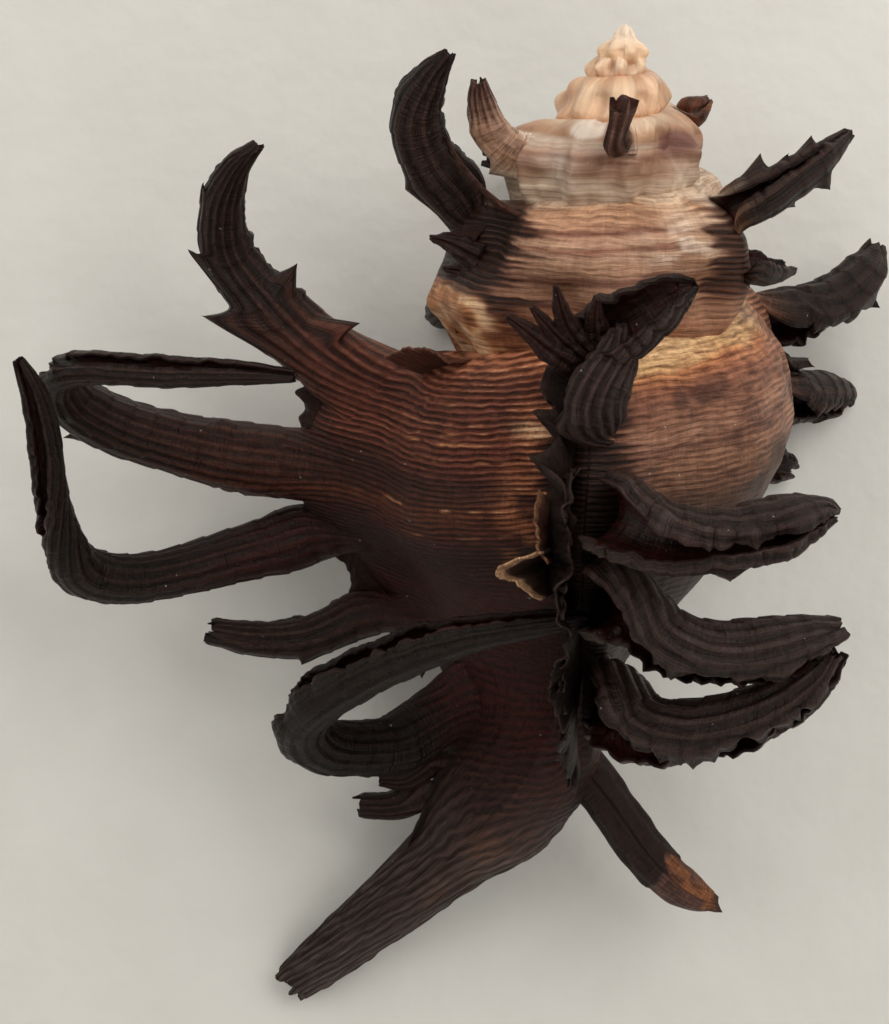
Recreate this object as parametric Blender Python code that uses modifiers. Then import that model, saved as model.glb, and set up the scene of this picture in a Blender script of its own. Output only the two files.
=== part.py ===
"""Murex shell: spire, body whorl, varices with gutter-shaped fronds, canal and open aperture.

The shell lies on its aperture side with the spire towards +Y and its back up (+Z).
Lengths below are in millimetres; the mesh is scaled to metres when it is made.
"""
import math

import bmesh
import bpy
import numpy as np

MM = 0.001

# The mesh is moved by this much so that its box stands centred over the origin
TO_ORIGIN = np.array([-2.95, 3.8, 0.0])

# Core line: the straight axis of the coil, then the canal that bends away to the left
APEX = np.array([17.1, 45.9, 32.0])
AXIS = np.array([-0.047, -0.959, -0.278])
STRAIGHT_LENGTH = 54.0
CANAL_LINE = [
    (12.2, -15.5, 14.2), (9.6, -22.5, 11.8), (6.0, -28.0, 9.6), (1.2, -33.4, 7.2),
    (-4.2, -38.2, 5.2), (-9.8, -42.8, 3.3), (-15.8, -47.6, 1.5),
]

# Places along the canal and the fronds are given as seen from straight above the shell,
# from this far over the level of the axis
EYE_DISTANCE = 230.0
AXIS_LEVEL = 20.0

# Coil: radius at the widest part against growth angle in degrees, 0 on top of the last whorl
GIRTH = [
    (-2250, 0.35), (-1890, 1.0), (-1530, 2.2), (-1170, 4.3), (-810, 7.6), (-630, 9.9),
    (-450, 12.6), (-270, 15.4), (-90, 18.5), (0, 20.3), (110, 22.6),
]
FIRST_ANGLE = -2200.0
LAST_ANGLE = 106.0
SUTURE_AT_LIP = 33.0
SUTURE_GROWTH = 1.37
SUTURE_SLANT = 0.045

# Whorl profile: height under the suture and radius, both as shares of the girth
PROFILE = [
    (0.0, 0.60), (0.02, 0.66), (0.07, 0.75), (0.16, 0.84), (0.28, 0.92), (0.45, 0.975),
    (0.66, 1.0), (0.80, 0.965), (0.94, 0.905), (1.1, 0.82), (1.25, 0.73), (1.4, 0.62),
    (1.55, 0.50), (1.7, 0.40), (1.85, 0.31), (2.0, 0.245), (3.0, 0.05), (9.0, 0.0),
]
# The right flank of the last whorl pulls in above the canal
WAIST_ANGLE = (-175, -35)
WAIST_SHARE = (1.2, 1.95)
WAIST_DEPTH = 0.3

# Canal radius against distance from the apex along the core line
CANAL = [
    (0, 0.0), (50, 2.0), (60, 4.2), (70, 5.8), (76, 6.9), (82, 6.8), (90, 4.3), (100, 3.4),
    (108, 2.7), (112.8, 2.1),
]
CANAL_FLATNESS = 0.15

# Varices: growth angle and height of the ridge between fronds, as a share of the girth
LIP, TOP, SIDE, BACK, FORE, UNDER = 100, 5, -115, -262, -410, -532
VARICES = [
    (LIP, [(0.0, 0.10), (0.1, 0.32), (0.75, 0.34), (0.95, 0.32), (1.15, 0.26), (1.35, 0.21),
           (1.6, 0.14), (1.9, 0.08), (2.1, 0.04), (2.4, 0.0)]),
    (TOP, [(0.0, 0.06), (0.1, 0.14), (0.65, 0.15), (1.2, 0.12), (1.9, 0.10), (2.3, 0.03), (2.5, 0.0)]),
    (SIDE, [(0.0, 0.06), (0.1, 0.14), (0.65, 0.12), (1.2, 0.06), (1.6, 0.0)]),
    (BACK, [(0.0, 0.06), (0.1, 0.11), (0.3, 0.08), (0.65, 0.06), (1.2, 0.05), (1.4, 0.0)]),
    (FORE, [(0.0, 0.05), (0.15, 0.13), (0.8, 0.10), (1.2, 0.0)]),
    (UNDER, [(0.0, 0.05), (0.15, 0.13), (0.8, 0.13), (1.2, 0.0)]),
    (-632, [(0.0, 0.05), (0.15, 0.15), (0.8, 0.12), (1.2, 0.0)]),
    (-724, [(0.0, 0.05), (0.15, 0.10), (0.8, 0.10), (1.2, 0.0)]),
    (-830, [(0.0, 0.05), (0.15, 0.10), (0.8, 0.10), (1.2, 0.0)]),
]
VARIX_RISE = 30.0
VARIX_DROP = 9.0
# The varix on top swings back along the canal: change of angle against distance from the apex
TOP_SWING = [(0, 0), (52, 0), (60, -12), (66, -30), (72, -55), (76, -66), (113, -66)]

# Low ribs on every whorl, and the bead-like knobs of the first whorls
RIB_LIFT = 0.02
KNOB_LIFT = 0.13
KNOBS_BEFORE = -880.0
KNOBS_PER_TURN = 8

# Fronds: varix, band of heights on its crest, then places along the middle (seen x and y,
# height, half width). The gutter's opening faces the way the shell grew.
FRONDS = {
    "lip_a": (LIP, (33.0, 40.2), [
        (-14.2, 16.9, 17.5, 3.2), (-18.3, 21.2, 19, 2.7), (-21.8, 26.0, 21, 2.1),
        (-22.3, 30.7, 24.5, 1.7), (-20.9, 34.4, 28, 1.0), (-18.7, 36.7, 30, 0.4)]),
    "lip_b": (LIP, (40.7, 48.0), [
        (-15.5, 5.3, 14.5, 3.3), (-20.5, 5.6, 15.5, 3.0), (-26.5, 6.8, 17.5, 2.6),
        (-32.5, 8.6, 20.5, 2.4), (-37.3, 11.2, 24.5, 2.1), (-38.4, 13.6, 29, 1.6),
        (-35.5, 14.4, 33, 1.3), (-28.0, 14.0, 36, 1.3), (-21.0, 13.9, 38, 1.0),
        (-15.4, 13.6, 39.5, 0.4)]),
    "lip_c": (LIP, (48.6, 55.4), [
        (-15.0, -2.6, 13.0, 2.8), (-20.5, -4.2, 13.5, 2.3), (-27.0, -6.0, 14.5, 2.0),
        (-32.2, -6.7, 16.5, 2.0), (-36.3, -5.7, 19.5, 2.0), (-38.3, -2.5, 23, 1.7),
        (-39.4, 2.5, 26.5, 1.3), (-40.0, 7.5, 29.5, 1.2), (-41.0, 11.8, 32, 0.9),
        (-42.5, 15.0, 33.5, 0.4)]),
    "lip_d": (LIP, (56.8, 62.0), [
        (-9.2, -10.6, 12.5, 2.0), (-13.5, -12.4, 12, 1.7), (-18.5, -12.7, 11.5, 1.4),
        (-23.2, -12.0, 12, 0.9)]),
    "lip_e": (LIP, (66.0, 78.0), [
        (-3.6, -22.6, 13.0, 2.8), (-8.5, -23.6, 16, 2.3), (-12.4, -23.2, 19.5, 2.3),
        (-14.2, -21.3, 23, 2.3), (-13.0, -19.0, 26.5, 2.3), (-9.9, -17.0, 29.5, 2.1),
        (-4.5, -14.4, 32.5, 1.9), (1.0, -12.6, 35, 1.5), (6.0, -11.7, 36.5, 1.1),
        (11.0, -11.0, 37.5, 0.8), (14.2, -10.7, 38, 0.4)]),
    "lip_f": (LIP, (79.0, 82.0), [(-3.6, -26.6, 9.5, 0.9), (-6.4, -26.8, 9.5, 0.4)]),
    "lip_g": (LIP, (83.0, 87.0), [(-4.8, -29.3, 8.5, 1.2), (-8.8, -29.4, 8.5, 0.9)]),
    "top_a": (TOP, (29.6, 34.2), [
        (15.6, 16.6, 45.5, 3.0), (19.5, 19.4, 47.5, 2.4), (22.8, 21.7, 48.5, 1.5),
        (24.9, 22.7, 49, 0.4)]),
    "top_b": (TOP, (34.4, 38.0), [
        (16.2, 12.6, 47, 2.2), (18.4, 15.4, 47.5, 1.6), (19.6, 17.6, 47, 0.5)]),
    "top_c": (TOP, (38.4, 46.6), [
        (17.0, -0.2, 47.5, 3.2), (21.5, -2.4, 49.5, 2.6), (27.5, -2.8, 49.5, 2.2),
        (33.2, -1.6, 48, 2.3), (37.0, -0.4, 46.5, 1.5), (39.0, -0.2, 45.5, 0.5)]),
    "top_d": (TOP, (48.0, 57.0), [
        (17.6, -8.8, 41.5, 3.1), (21.8, -12.6, 43.5, 2.6), (26.6, -14.2, 44, 2.4),
        (31.8, -13.8, 43, 2.4), (36.3, -12.7, 41.5, 1.7), (39.2, -11.8, 40.5, 0.6)]),
    "top_e": (TOP, (58.5, 68.0), [
        (17.2, -18.8, 31.5, 3.1), (20.2, -21.6, 35, 2.8), (25.0, -21.8, 37.5, 2.4),
        (31.0, -20.4, 39, 2.2), (36.0, -17.6, 40, 1.8), (39.0, -14.2, 40.5, 0.9)]),
    "side_a": (SIDE, (25.6, 31.2), [
        (33.5, 19.4, 14, 2.6), (38.0, 20.6, 11, 2.2), (41.6, 23.6, 8, 1.8), (42.9, 26.2, 6, 0.7)]),
    "side_b": (SIDE, (31.8, 34.0), [(33.8, 14.2, 12, 1.1), (35.8, 14.3, 9.5, 0.9)]),
    "side_c": (SIDE, (34.6, 39.4), [
        (34.6, 11.4, 10, 2.4), (37.5, 11.7, 5, 2.1), (39.4, 11.6, 1.6, 1.5), (40.2, 11.2, -0.4, 1.0)]),
    "side_d": (SIDE, (41.0, 44.6), [(32.0, 5.2, 9, 1.7), (33.6, 4.6, 5, 1.2), (34.8, 4.1, 2, 0.5)]),
    "back_a": (BACK, (17.5, 21.4), [
        (1.6, 31.4, 25.5, 2.8), (-1.5, 35.0, 27.5, 2.4), (-2.9, 39.4, 30, 2.0),
        (-1.5, 43.2, 32.5, 1.3), (0.4, 45.8, 34.5, 0.4)]),
    "back_b": (BACK, (21.6, 23.4), [(1.2, 26.9, 23, 0.9), (-1.2, 27.4, 23, 0.4)]),
    "back_c": (BACK, (23.8, 25.4), [(1.6, 24.2, 22, 0.8), (0.1, 24.3, 21.5, 0.4)]),
    "back_d": (BACK, (27.4, 30.0), [(-0.2, 19.9, 16.5, 1.2), (-1.0, 19.8, 12, 0.7)]),
    "fore_a": (FORE, (14.8, 19.0), [
        (28.6, 30.0, 37, 2.4), (33.0, 31.6, 37, 2.0), (37.2, 34.6, 35, 1.6), (40.4, 37.9, 32.5, 0.4)]),
    "fore_b": (FORE, (20.0, 23.2), [(30.0, 24.6, 35, 1.6), (32.4, 24.2, 32.5, 1.2), (34.2, 24.2, 30, 0.5)]),
    "under_a": (UNDER, (13.0, 16.2), [
        (17.5, 34.6, 11, 2.2), (13.0, 34.8, 6.5, 1.8), (7.6, 35.2, 4.5, 1.3), (4.1, 35.4, 4.5, 0.5)]),
    "under_b": (UNDER, (18.6, 22.0), [
        (17.0, 25.6, 9, 2.2), (12.5, 23.0, 4.6, 1.9), (5.5, 20.8, 1.8, 1.6), (-0.6, 19.8, -0.2, 1.2)]),
    "high_a": (-632, (10.6, 13.0), [(6.4, 36.8, 29.5, 1.4), (4.2, 39.4, 30.5, 1.1), (3.4, 43.0, 32, 0.4)]),
    "high_b": (-724, (9.6, 12.4), [(17.6, 37.8, 39.5, 1.0), (17.9, 40.4, 41, 1.4)]),
    "high_c": (-830, (7.4, 9.4), [(25.0, 40.0, 26.5, 0.9), (26.3, 41.0, 26, 0.4)]),
}
# Each frond leaves the whorl this many degrees before its varix, then folds into a gutter
# after this share of its root's half width, or of its own length if that is less
FROND_START = 13.0
FROND_LEAVING = 4.0
FROND_JOIN = (1.3, 0.45)
GUTTER_OPENING = 130.0
FROND_WALL = 1.3
FROND_ROWS = 36
FROND_COLUMNS = 15
BLEND_ROWS = 9

# Spikelets: root and tip (seen x and y, height), and half width at the root
SPIKELETS = [
    ((-16.5, 19.3, 19.5), (-24.3, 19.7, 19.0), 2.2), ((-21.0, 25.2, 21.5), (-25.6, 26.3, 22.5), 1.3),
    ((-21.5, 31.5, 25.5), (-24.1, 32.6, 26.5), 0.9), ((-15.5, 20.8, 20.0), (-14.8, 24.6, 21.5), 1.2),
    ((-11.5, 16.6, 18.5), (-8.2, 18.7, 20.5), 1.2), ((-22.2, 7.4, 16.5), (-22.0, 9.2, 17.5), 0.8),
    ((-12.6, -12.5, 12.0), (-14.2, -15.0, 12.5), 0.9),
    ((12.8, 15.6, 42.5), (6.3, 18.8, 45.0), 1.3), ((13.0, 16.0, 43.5), (8.6, 20.4, 46.5), 1.2),
    ((13.2, 16.4, 44.5), (11.3, 22.2, 48.0), 1.2), ((14.0, 16.8, 45.0), (15.2, 21.2, 49.0), 1.2),
    ((14.0, 9.6, 43.5), (10.0, 10.4, 43.0), 1.4), ((10.5, -5.0, 41.5), (5.6, -5.9, 43.0), 1.5),
    ((28.4, -4.6, 49.0), (28.6, -6.8, 48.5), 1.0), ((21.8, -4.4, 48.5), (21.6, -6.2, 48.0), 0.9),
    ((31.4, 32.4, 36.5), (31.5, 35.6, 37.0), 0.9), ((34.2, 33.4, 36.0), (34.3, 35.6, 36.5), 0.8),
    ((36.6, 35.2, 35.0), (36.7, 37.4, 35.0), 0.7), ((37.0, 33.6, 35.0), (38.5, 32.3, 34.5), 0.8),
    ((34.0, 31.4, 35.5), (35.0, 30.7, 35.0), 0.8), ((41.2, 22.4, 8.0), (43.3, 20.6, 7.0), 1.4),
    ((-1.2, 32.4, 26.0), (-3.7, 32.3, 26.0), 1.1), ((-2.6, 40.2, 30.0), (-4.9, 40.8, 31.0), 1.0),
    ((24.0, 39.2, 26.0), (25.6, 38.6, 25.5), 0.8),
]
OLD_CANAL = [
    (12.0, -23.5, 11.5, 2.6), (17.0, -29.6, 10.5, 2.2), (20.2, -33.8, 10, 2.1),
    (23.8, -37.4, 9.5, 1.7), (26.9, -39.0, 9, 0.7),
]

# Hollow behind the mouth: the growth angles of its ends and of its rounding, then its centre
# and half size in the whorl as shares of the girth
HOLLOW_END = 20.0
HOLLOW_MOUTH = 150.0
HOLLOW_ROUNDING = 25.0
HOLLOW_CENTRE = (0.62, 0.68)
HOLLOW_HALF = (0.27, 0.40)
# The slit that runs on from the aperture to the canal's tip: growth angle, distance from the
# apex and radius of its places in the lip's face, then angle and distance along the canal
SLIT_IN_LIP = [(100, 54, 13.0), (101, 59, 11.0), (101, 64, 9.2), (101, 69, 7.8)]
SLIT_ALONG = [(118, 75), (135, 80), (146, 86), (150, 93), (150, 100), (150, 107), (150, 112)]
SLIT_DEPTH = 0.7
SLIT_HALF = 0.9
SLIT_OVERRUN = 6.0

# Each whorl is made in closed sectors; the older ones end this far down, in girths, and are
# covered from there on
SECTOR = 116.0
SECTOR_LAP = 4.0
SECTOR_STEP = 4.0
WHORL_ROWS = 60
COVERED_FROM = 1.35
VOXEL = 0.45
WELD = 0.04
TRIANGLES = 9200
SHELL_COLOUR = (0.16, 0.085, 0.055, 1.0)
SHELL_ROUGHNESS = 0.55


def smooth_curve(points, steps):
    """Points along a smooth curve through the given points."""
    points = np.asarray(points, float)
    ends = np.vstack([2 * points[0] - points[1], points, 2 * points[-1] - points[-2]])
    line = []
    for a, b, c, d in zip(ends, ends[1:], ends[2:], ends[3:]):
        for u in np.linspace(0, 1, steps, endpoint=False):
            line.append(b + 0.5 * ((c - a) * u + (2 * a - 5 * b + 4 * c - d) * u**2
                                   + (3 * b - a - 3 * c + d) * u**3))
    line.append(points[-1])
    return np.array(line)


def through(x, table):
    """A value read from a smooth curve through a table, with no overshoot."""
    xs, ys = np.asarray(table, float).T
    steps = np.diff(ys) / np.diff(xs)
    slopes = np.concatenate([steps[:1], np.zeros(len(xs) - 2), steps[-1:]])
    same_way = steps[1:] * steps[:-1] > 0
    slopes[1:-1] = np.where(same_way, 2 * steps[1:] * steps[:-1] / (steps[1:] + steps[:-1] + 1e-12), 0)
    x = np.clip(x, xs[0], xs[-1])
    i = np.clip(np.searchsorted(xs, x) - 1, 0, len(xs) - 2)
    width = xs[i + 1] - xs[i]
    u = (x - xs[i]) / width
    return ((2 * u**3 - 3 * u**2 + 1) * ys[i] + (u**3 - 2 * u**2 + u) * width * slopes[i]
            + (3 * u**2 - 2 * u**3) * ys[i + 1] + (u**3 - u**2) * width * slopes[i + 1])


def ease(x):
    """A smooth step from 0 to 1."""
    x = np.clip(x, 0, 1)
    return x * x * (3 - 2 * x)


def seen(x, y, z):
    """The true place of a point that is seen at x, y from straight above and lies at height z."""
    share = (EYE_DISTANCE - (z - AXIS_LEVEL)) / EYE_DISTANCE
    return np.array([x * share, y * share, z])


class Core:
    """The core line with a frame carried along it."""

    def __init__(self):
        axis = AXIS / np.linalg.norm(AXIS)
        side = np.cross(axis, (0, 0, 1))
        side /= np.linalg.norm(side)
        side *= np.sign(side[0])
        front = np.cross(side, axis)
        front *= np.sign(front[2])
        points = [APEX + axis * h for h in (-3, 10, 22, 34, 44, STRAIGHT_LENGTH)]
        points += [seen(*place) for place in CANAL_LINE]
        self.line = smooth_curve(points, 20)
        lengths = np.linalg.norm(np.diff(self.line, axis=0), axis=1)
        self.heights = np.concatenate([[0], np.cumsum(lengths)]) - 3.0
        self.tip = self.heights[-1]
        along = np.gradient(self.line, axis=0)
        along /= np.linalg.norm(along, axis=1)[:, None]
        fronts = [front]
        for step in along[1:]:
            turned = fronts[-1] - step * fronts[-1].dot(step)
            fronts.append(turned / np.linalg.norm(turned))
        self.fronts = np.array(fronts)
        self.sides = np.cross(along, self.fronts)
        self.sides *= np.sign(self.sides[0].dot(side))

    def at(self, h):
        """Centre, front direction and side direction at distance h from the apex."""
        return tuple(
            np.stack([np.interp(h, self.heights, table[:, k]) for k in range(3)], -1)
            for table in (self.line, self.fronts, self.sides))


CORE = Core()


def girth(s):
    angles, radii = np.array(GIRTH, float).T
    return np.exp(np.interp(s, angles, np.log(radii)))


def suture(s):
    slant = SUTURE_SLANT * girth(s) * np.sin(np.radians(s))
    return SUTURE_AT_LIP * SUTURE_GROWTH ** ((np.asarray(s, float) - 90) / 180) - slant


def crest(angle, h):
    """Growth angle of a varix at distance h from the apex."""
    return angle + through(h, TOP_SWING) if angle == TOP else angle + 0 * h


def varix_height(s, h):
    """How far the varices lift the surface at growth angle s and height h."""
    share = (h - suture(s)) / girth(s)
    lift = 0.0
    for first_angle, ridge in VARICES:
        angle = crest(first_angle, h)
        before = ease(1 - (angle - s) / VARIX_RISE) ** 2 * (s <= angle)
        after = ease(1 - (s - angle) / VARIX_DROP) * (s > angle)
        lift = lift + (before + after) * through(share, ridge)
    return lift * girth(s)


def hump(x, low, high):
    """A smooth rise and fall from 0 to 1 between low and high."""
    return np.cos(np.pi * (np.clip((x - low) / (high - low), 0, 1) - 0.5)) ** 2


def radius(s, h):
    """Distance of the shell's surface from the core line."""
    share = (h - suture(s)) / girth(s)
    waist = WAIST_DEPTH * hump(s, *WAIST_ANGLE) * hump(share, *WAIST_SHARE)
    ribs = np.cos(np.radians(s * KNOBS_PER_TURN / 2)) ** 2 * hump(share, 0.0, 1.1)
    lift = RIB_LIFT + (KNOB_LIFT - RIB_LIFT) * ease((KNOBS_BEFORE - s) / 120)
    whorl = (through(share, PROFILE) * (1 - waist) + lift * ribs) * girth(s)
    canal = through(h, CANAL)
    return (whorl**6 + canal**6) ** (1 / 6) + varix_height(s, h)


def place(s, h, r):
    """The point at growth angle s, distance h along the core line and radius r from it."""
    centre, front, side = CORE.at(h)
    turn = -np.radians(s)
    flat = 1 - CANAL_FLATNESS * np.clip((h - 68) / 12, 0, 1)
    return centre + front * (r * np.cos(turn) * flat)[..., None] + side * (r * np.sin(turn))[..., None]


def on_shell(s, h):
    s, h = np.broadcast_arrays(np.asarray(s, float), np.asarray(h, float))
    return place(s, h, radius(s, h))


def make_object(name, points, faces, collection):
    mesh = bpy.data.meshes.new(name)
    mesh.from_pydata(((np.asarray(points) + TO_ORIGIN) * MM).tolist(), [], faces)
    thing = bpy.data.objects.new(name, mesh)
    collection.objects.link(thing)
    return thing


def grid_faces(rows, columns, closed=False):
    """Quads of a grid of points, with its columns joined end to end when closed."""
    faces = []
    for i in range(rows - 1):
        for j in range(columns if closed else columns - 1):
            k = (j + 1) % columns
            faces.append((i * columns + j, i * columns + k, (i + 1) * columns + k, (i + 1) * columns + j))
    return faces


def loft(name, loops, collection):
    """A closed solid through loops of points, capped at both ends."""
    rows, columns, _ = loops.shape
    faces = grid_faces(rows, columns, closed=True)
    faces.append(tuple(range(columns)))
    faces.append(tuple((rows - 1) * columns + i for i in reversed(range(columns))))
    solid = make_object(name, loops.reshape(-1, 3), faces, collection)
    work = bmesh.new()
    work.from_mesh(solid.data)
    bmesh.ops.recalc_face_normals(work, faces=work.faces)
    work.to_mesh(solid.data)
    work.free()
    return solid


def whorl_sector(name, start, end, collection):
    """A closed sector of the coil, from the core line out to the shell's surface."""
    shares = np.linspace(0, 1, WHORL_ROWS)
    in_last_whorl = 0.5 * (start + end) > LAST_ANGLE - 360
    loops = []
    for s in np.linspace(start, end, max(3, int((end - start) / SECTOR_STEP) + 1)):
        low = suture(s)
        high = CORE.tip if in_last_whorl else low + COVERED_FROM * girth(s)
        outer = on_shell(s, low + (high - low) * shares)
        inner = CORE.at(np.array([high, (low + high) / 2, low]))[0]
        loops.append(np.vstack([outer, inner]))
    return loft(name, np.array(loops), collection)


def frames_along(line, start):
    """Tangents of a line and the direction start carried along it without twist."""
    along = np.gradient(line, axis=0)
    along /= np.linalg.norm(along, axis=1)[:, None]
    carried = [start]
    for step in along:
        turned = carried[-1] - step * carried[-1].dot(step)
        carried.append(turned / np.linalg.norm(turned))
    return along, np.array(carried[1:])


def even_line(points, widths, count):
    """Evenly spaced places on a smooth curve through the points, with their widths."""
    line = smooth_curve(points, 12)
    widths = smooth_curve(np.asarray(widths, float)[:, None], 12)[:, 0]
    gone = np.concatenate([[0], np.cumsum(np.linalg.norm(np.diff(line, axis=0), axis=1))])
    even = np.linspace(0, gone[-1], count)
    line = np.stack([np.interp(even, gone, line[:, k]) for k in range(3)], -1)
    return line, np.interp(even, gone, widths), even


def frond_sheet(varix, band, spine):
    """The outer face of one frond: its root follows the whorl, then folds into a gutter."""
    heights = np.linspace(*band, FROND_COLUMNS)
    angles = crest(varix, heights)
    middle = np.array([0.5 * sum(band)])
    angle = crest(varix, middle)
    root = on_shell(angle, middle)[0]
    grown = (on_shell(angle + 1, middle) - on_shell(angle - 1, middle))[0]
    half_band = 0.5 * np.linalg.norm(np.diff(on_shell(angles, heights)[[0, -1]], axis=0))
    points = [root] + [seen(x, y, z) for x, y, z, _ in spine]
    halves = [half_band] + [half for *_, half in spine]
    line, widths, gone = even_line(points, halves, FROND_ROWS)
    along, back = frames_along(line, -grown / np.linalg.norm(grown))
    across = np.cross(back, along)
    if across[0].dot(on_shell(angle, middle + 1)[0] - root) < 0:
        across = -across
    opening = math.radians(GUTTER_OPENING)
    turn = np.linspace(-opening, opening, FROND_COLUMNS)
    off_centre = 0.5 * math.sin(opening) / opening
    gutter = line[:, None] + widths[:, None, None] * (
        back[:, None] * (np.cos(turn) - off_centre)[None, :, None]
        + across[:, None] * np.sin(turn)[None, :, None])
    start = on_shell(angles - FROND_START, heights)
    leave = on_shell(angles - FROND_START + FROND_LEAVING, heights) - start
    leave /= np.linalg.norm(leave, axis=1)[:, None]
    join = np.searchsorted(gone, min(FROND_JOIN[0] * half_band, FROND_JOIN[1] * gone[-1]))
    reach = np.linalg.norm(gutter[join] - start, axis=1)[:, None]
    blend = []
    for u in np.linspace(0, 1, BLEND_ROWS, endpoint=False):
        blend.append((2 * u**3 - 3 * u**2 + 1) * start + (u**3 - 2 * u**2 + u) * leave * reach
                     + (3 * u**2 - 2 * u**3) * gutter[join] + (u**3 - u**2) * along[join] * reach)
    sheet = np.concatenate([np.array(blend), gutter[join:]])
    sizes = np.concatenate([np.full(BLEND_ROWS, half_band), widths[join:]])
    return sheet, sizes


def frond(name, varix, band, spine, collection):
    """One frond as a closed solid: its outer face with a wall towards the opening."""
    sheet, sizes = frond_sheet(varix, band, spine)
    rows, columns, _ = sheet.shape
    thing = make_object(name, sheet.reshape(-1, 3), grid_faces(rows, columns), collection)
    middle = np.array([0.5 * sum(band)])
    radial = on_shell(crest(varix, middle), middle)[0] - CORE.at(middle)[0][0]
    if np.array(thing.data.polygons[columns // 2].normal).dot(radial) < 0:
        thing.data.flip_normals()
    thickness = thing.vertex_groups.new(name="thickness")
    for i, size in enumerate(sizes):
        share = min(1.0, 0.85 * size / FROND_WALL)
        thickness.add(list(range(i * columns, (i + 1) * columns)), share, "REPLACE")
    wall = thing.modifiers.new("wall", "SOLIDIFY")
    wall.thickness = FROND_WALL * MM
    wall.offset = -1
    wall.vertex_group = "thickness"
    return thing


def rod(name, points, halves, collection, count=24, sides=14):
    """A round closed rod on a smooth curve through the points."""
    line, widths, _ = even_line(points, halves, count)
    along = np.gradient(line, axis=0)[0]
    start = np.cross(along, (0, 0, 1)) + np.array([0, 0, 1e-3])
    along, back = frames_along(line, start)
    across = np.cross(along, back)
    turn = np.linspace(0, 2 * math.pi, sides, endpoint=False)
    rings = line[:, None] + widths[:, None, None] * (
        back[:, None] * np.cos(turn)[None, :, None] + across[:, None] * np.sin(turn)[None, :, None])
    return loft(name, rings, collection)


def spikelets(collection):
    """The small pointed side branches of the fronds."""
    things = []
    for root, tip, half in SPIKELETS:
        root, tip = seen(*root), seen(*tip)
        points = [root, 0.5 * (root + tip), tip]
        things.append(rod("spikelet", points, [half, 0.55 * half, 0.3], collection, 8, 8))
    return things


def hollow(collection):
    """The cutter for the inner hollow, from outside the aperture up inside the last whorl."""
    angles = np.linspace(HOLLOW_END, HOLLOW_MOUTH, 60)
    grown = np.minimum(angles, LIP)
    sizes = girth(grown)
    shares = np.sqrt(ease((angles - HOLLOW_END) / HOLLOW_ROUNDING) + 0.001)
    turn = np.linspace(0, 2 * math.pi, 20, endpoint=False)
    rings = []
    for s, size, share, level in zip(angles, sizes, shares, suture(grown)):
        r = size * (HOLLOW_CENTRE[0] + HOLLOW_HALF[0] * share * np.cos(turn))
        h = level + size * (HOLLOW_CENTRE[1] + HOLLOW_HALF[1] * share * np.sin(turn))
        rings.append(place(np.full(turn.shape, s), h, r))
    return loft("hollow", np.array(rings), collection)


def slit(collection):
    """The cutter for the narrow slit from the aperture to the canal's tip."""
    angles, heights, radii = np.array(SLIT_IN_LIP, float).T
    points = list(place(angles, heights, radii))
    angles, heights = np.array(SLIT_ALONG, float).T
    points += list(place(angles, heights, radius(angles - 360, heights) - SLIT_DEPTH))
    past_tip = CORE.line[-1] - CORE.line[-2]
    points.append(points[-1] + past_tip / np.linalg.norm(past_tip) * SLIT_OVERRUN)
    return rod("slit", points, [SLIT_HALF] * len(points), collection, 60, 8)


def as_mesh(thing):
    """Keeps what the modifiers make of an object as its own mesh."""
    graph = bpy.context.evaluated_depsgraph_get()
    mesh = bpy.data.meshes.new_from_object(thing.evaluated_get(graph))
    thing.modifiers.clear()
    thing.data = mesh


def join(things):
    """All meshes as one object, the first."""
    work = bmesh.new()
    for thing in things:
        as_mesh(thing)
        work.from_mesh(thing.data)
    work.to_mesh(things[0].data)
    work.free()
    for thing in things[1:]:
        bpy.data.objects.remove(thing)
    return things[0]


def cut_away(shell, cutter):
    cutter.hide_render = True
    cutter.display_type = "WIRE"
    cut = shell.modifiers.new(cutter.name, "BOOLEAN")
    cut.object = cutter
    cut.operation = "DIFFERENCE"


def keep_largest(mesh):
    """Welds the slivers that the cutters left, and removes crumbs that came loose."""
    work = bmesh.new()
    work.from_mesh(mesh)
    bmesh.ops.remove_doubles(work, verts=work.verts, dist=WELD * MM)
    bmesh.ops.dissolve_degenerate(work, edges=work.edges, dist=1e-7)
    left = set(work.verts)
    bodies = []
    while left:
        edge = [left.pop()]
        body = set(edge)
        while edge:
            near = {e.other_vert(v) for v in edge for e in v.link_edges} & left
            left -= near
            body |= near
            edge = list(near)
        bodies.append(body)
    bodies.sort(key=len)
    for body in bodies[:-1]:
        bmesh.ops.delete(work, geom=list(body), context="VERTS")
    work.to_mesh(mesh)
    work.free()


def trim_at_rest(mesh):
    """Cuts the lowest tips flat where they rest, and closes the cuts."""
    work = bmesh.new()
    work.from_mesh(mesh)
    geometry = work.verts[:] + work.edges[:] + work.faces[:]
    cut = bmesh.ops.bisect_plane(
        work, geom=geometry, dist=1e-7, plane_co=(0, 0, 0), plane_no=(0, 0, 1), clear_inner=True)
    rims = [item for item in cut["geom_cut"] if isinstance(item, bmesh.types.BMEdge)]
    bmesh.ops.holes_fill(work, edges=rims, sides=0)
    bmesh.ops.triangulate(work, faces=work.faces[:])
    work.to_mesh(mesh)
    work.free()


def shell_material():
    material = bpy.data.materials.new("shell")
    material.use_nodes = True
    surface = material.node_tree.nodes["Principled BSDF"]
    surface.inputs["Base Color"].default_value = SHELL_COLOUR
    surface.inputs["Roughness"].default_value = SHELL_ROUGHNESS
    surface.inputs["Metallic"].default_value = 0.0
    return material


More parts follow.
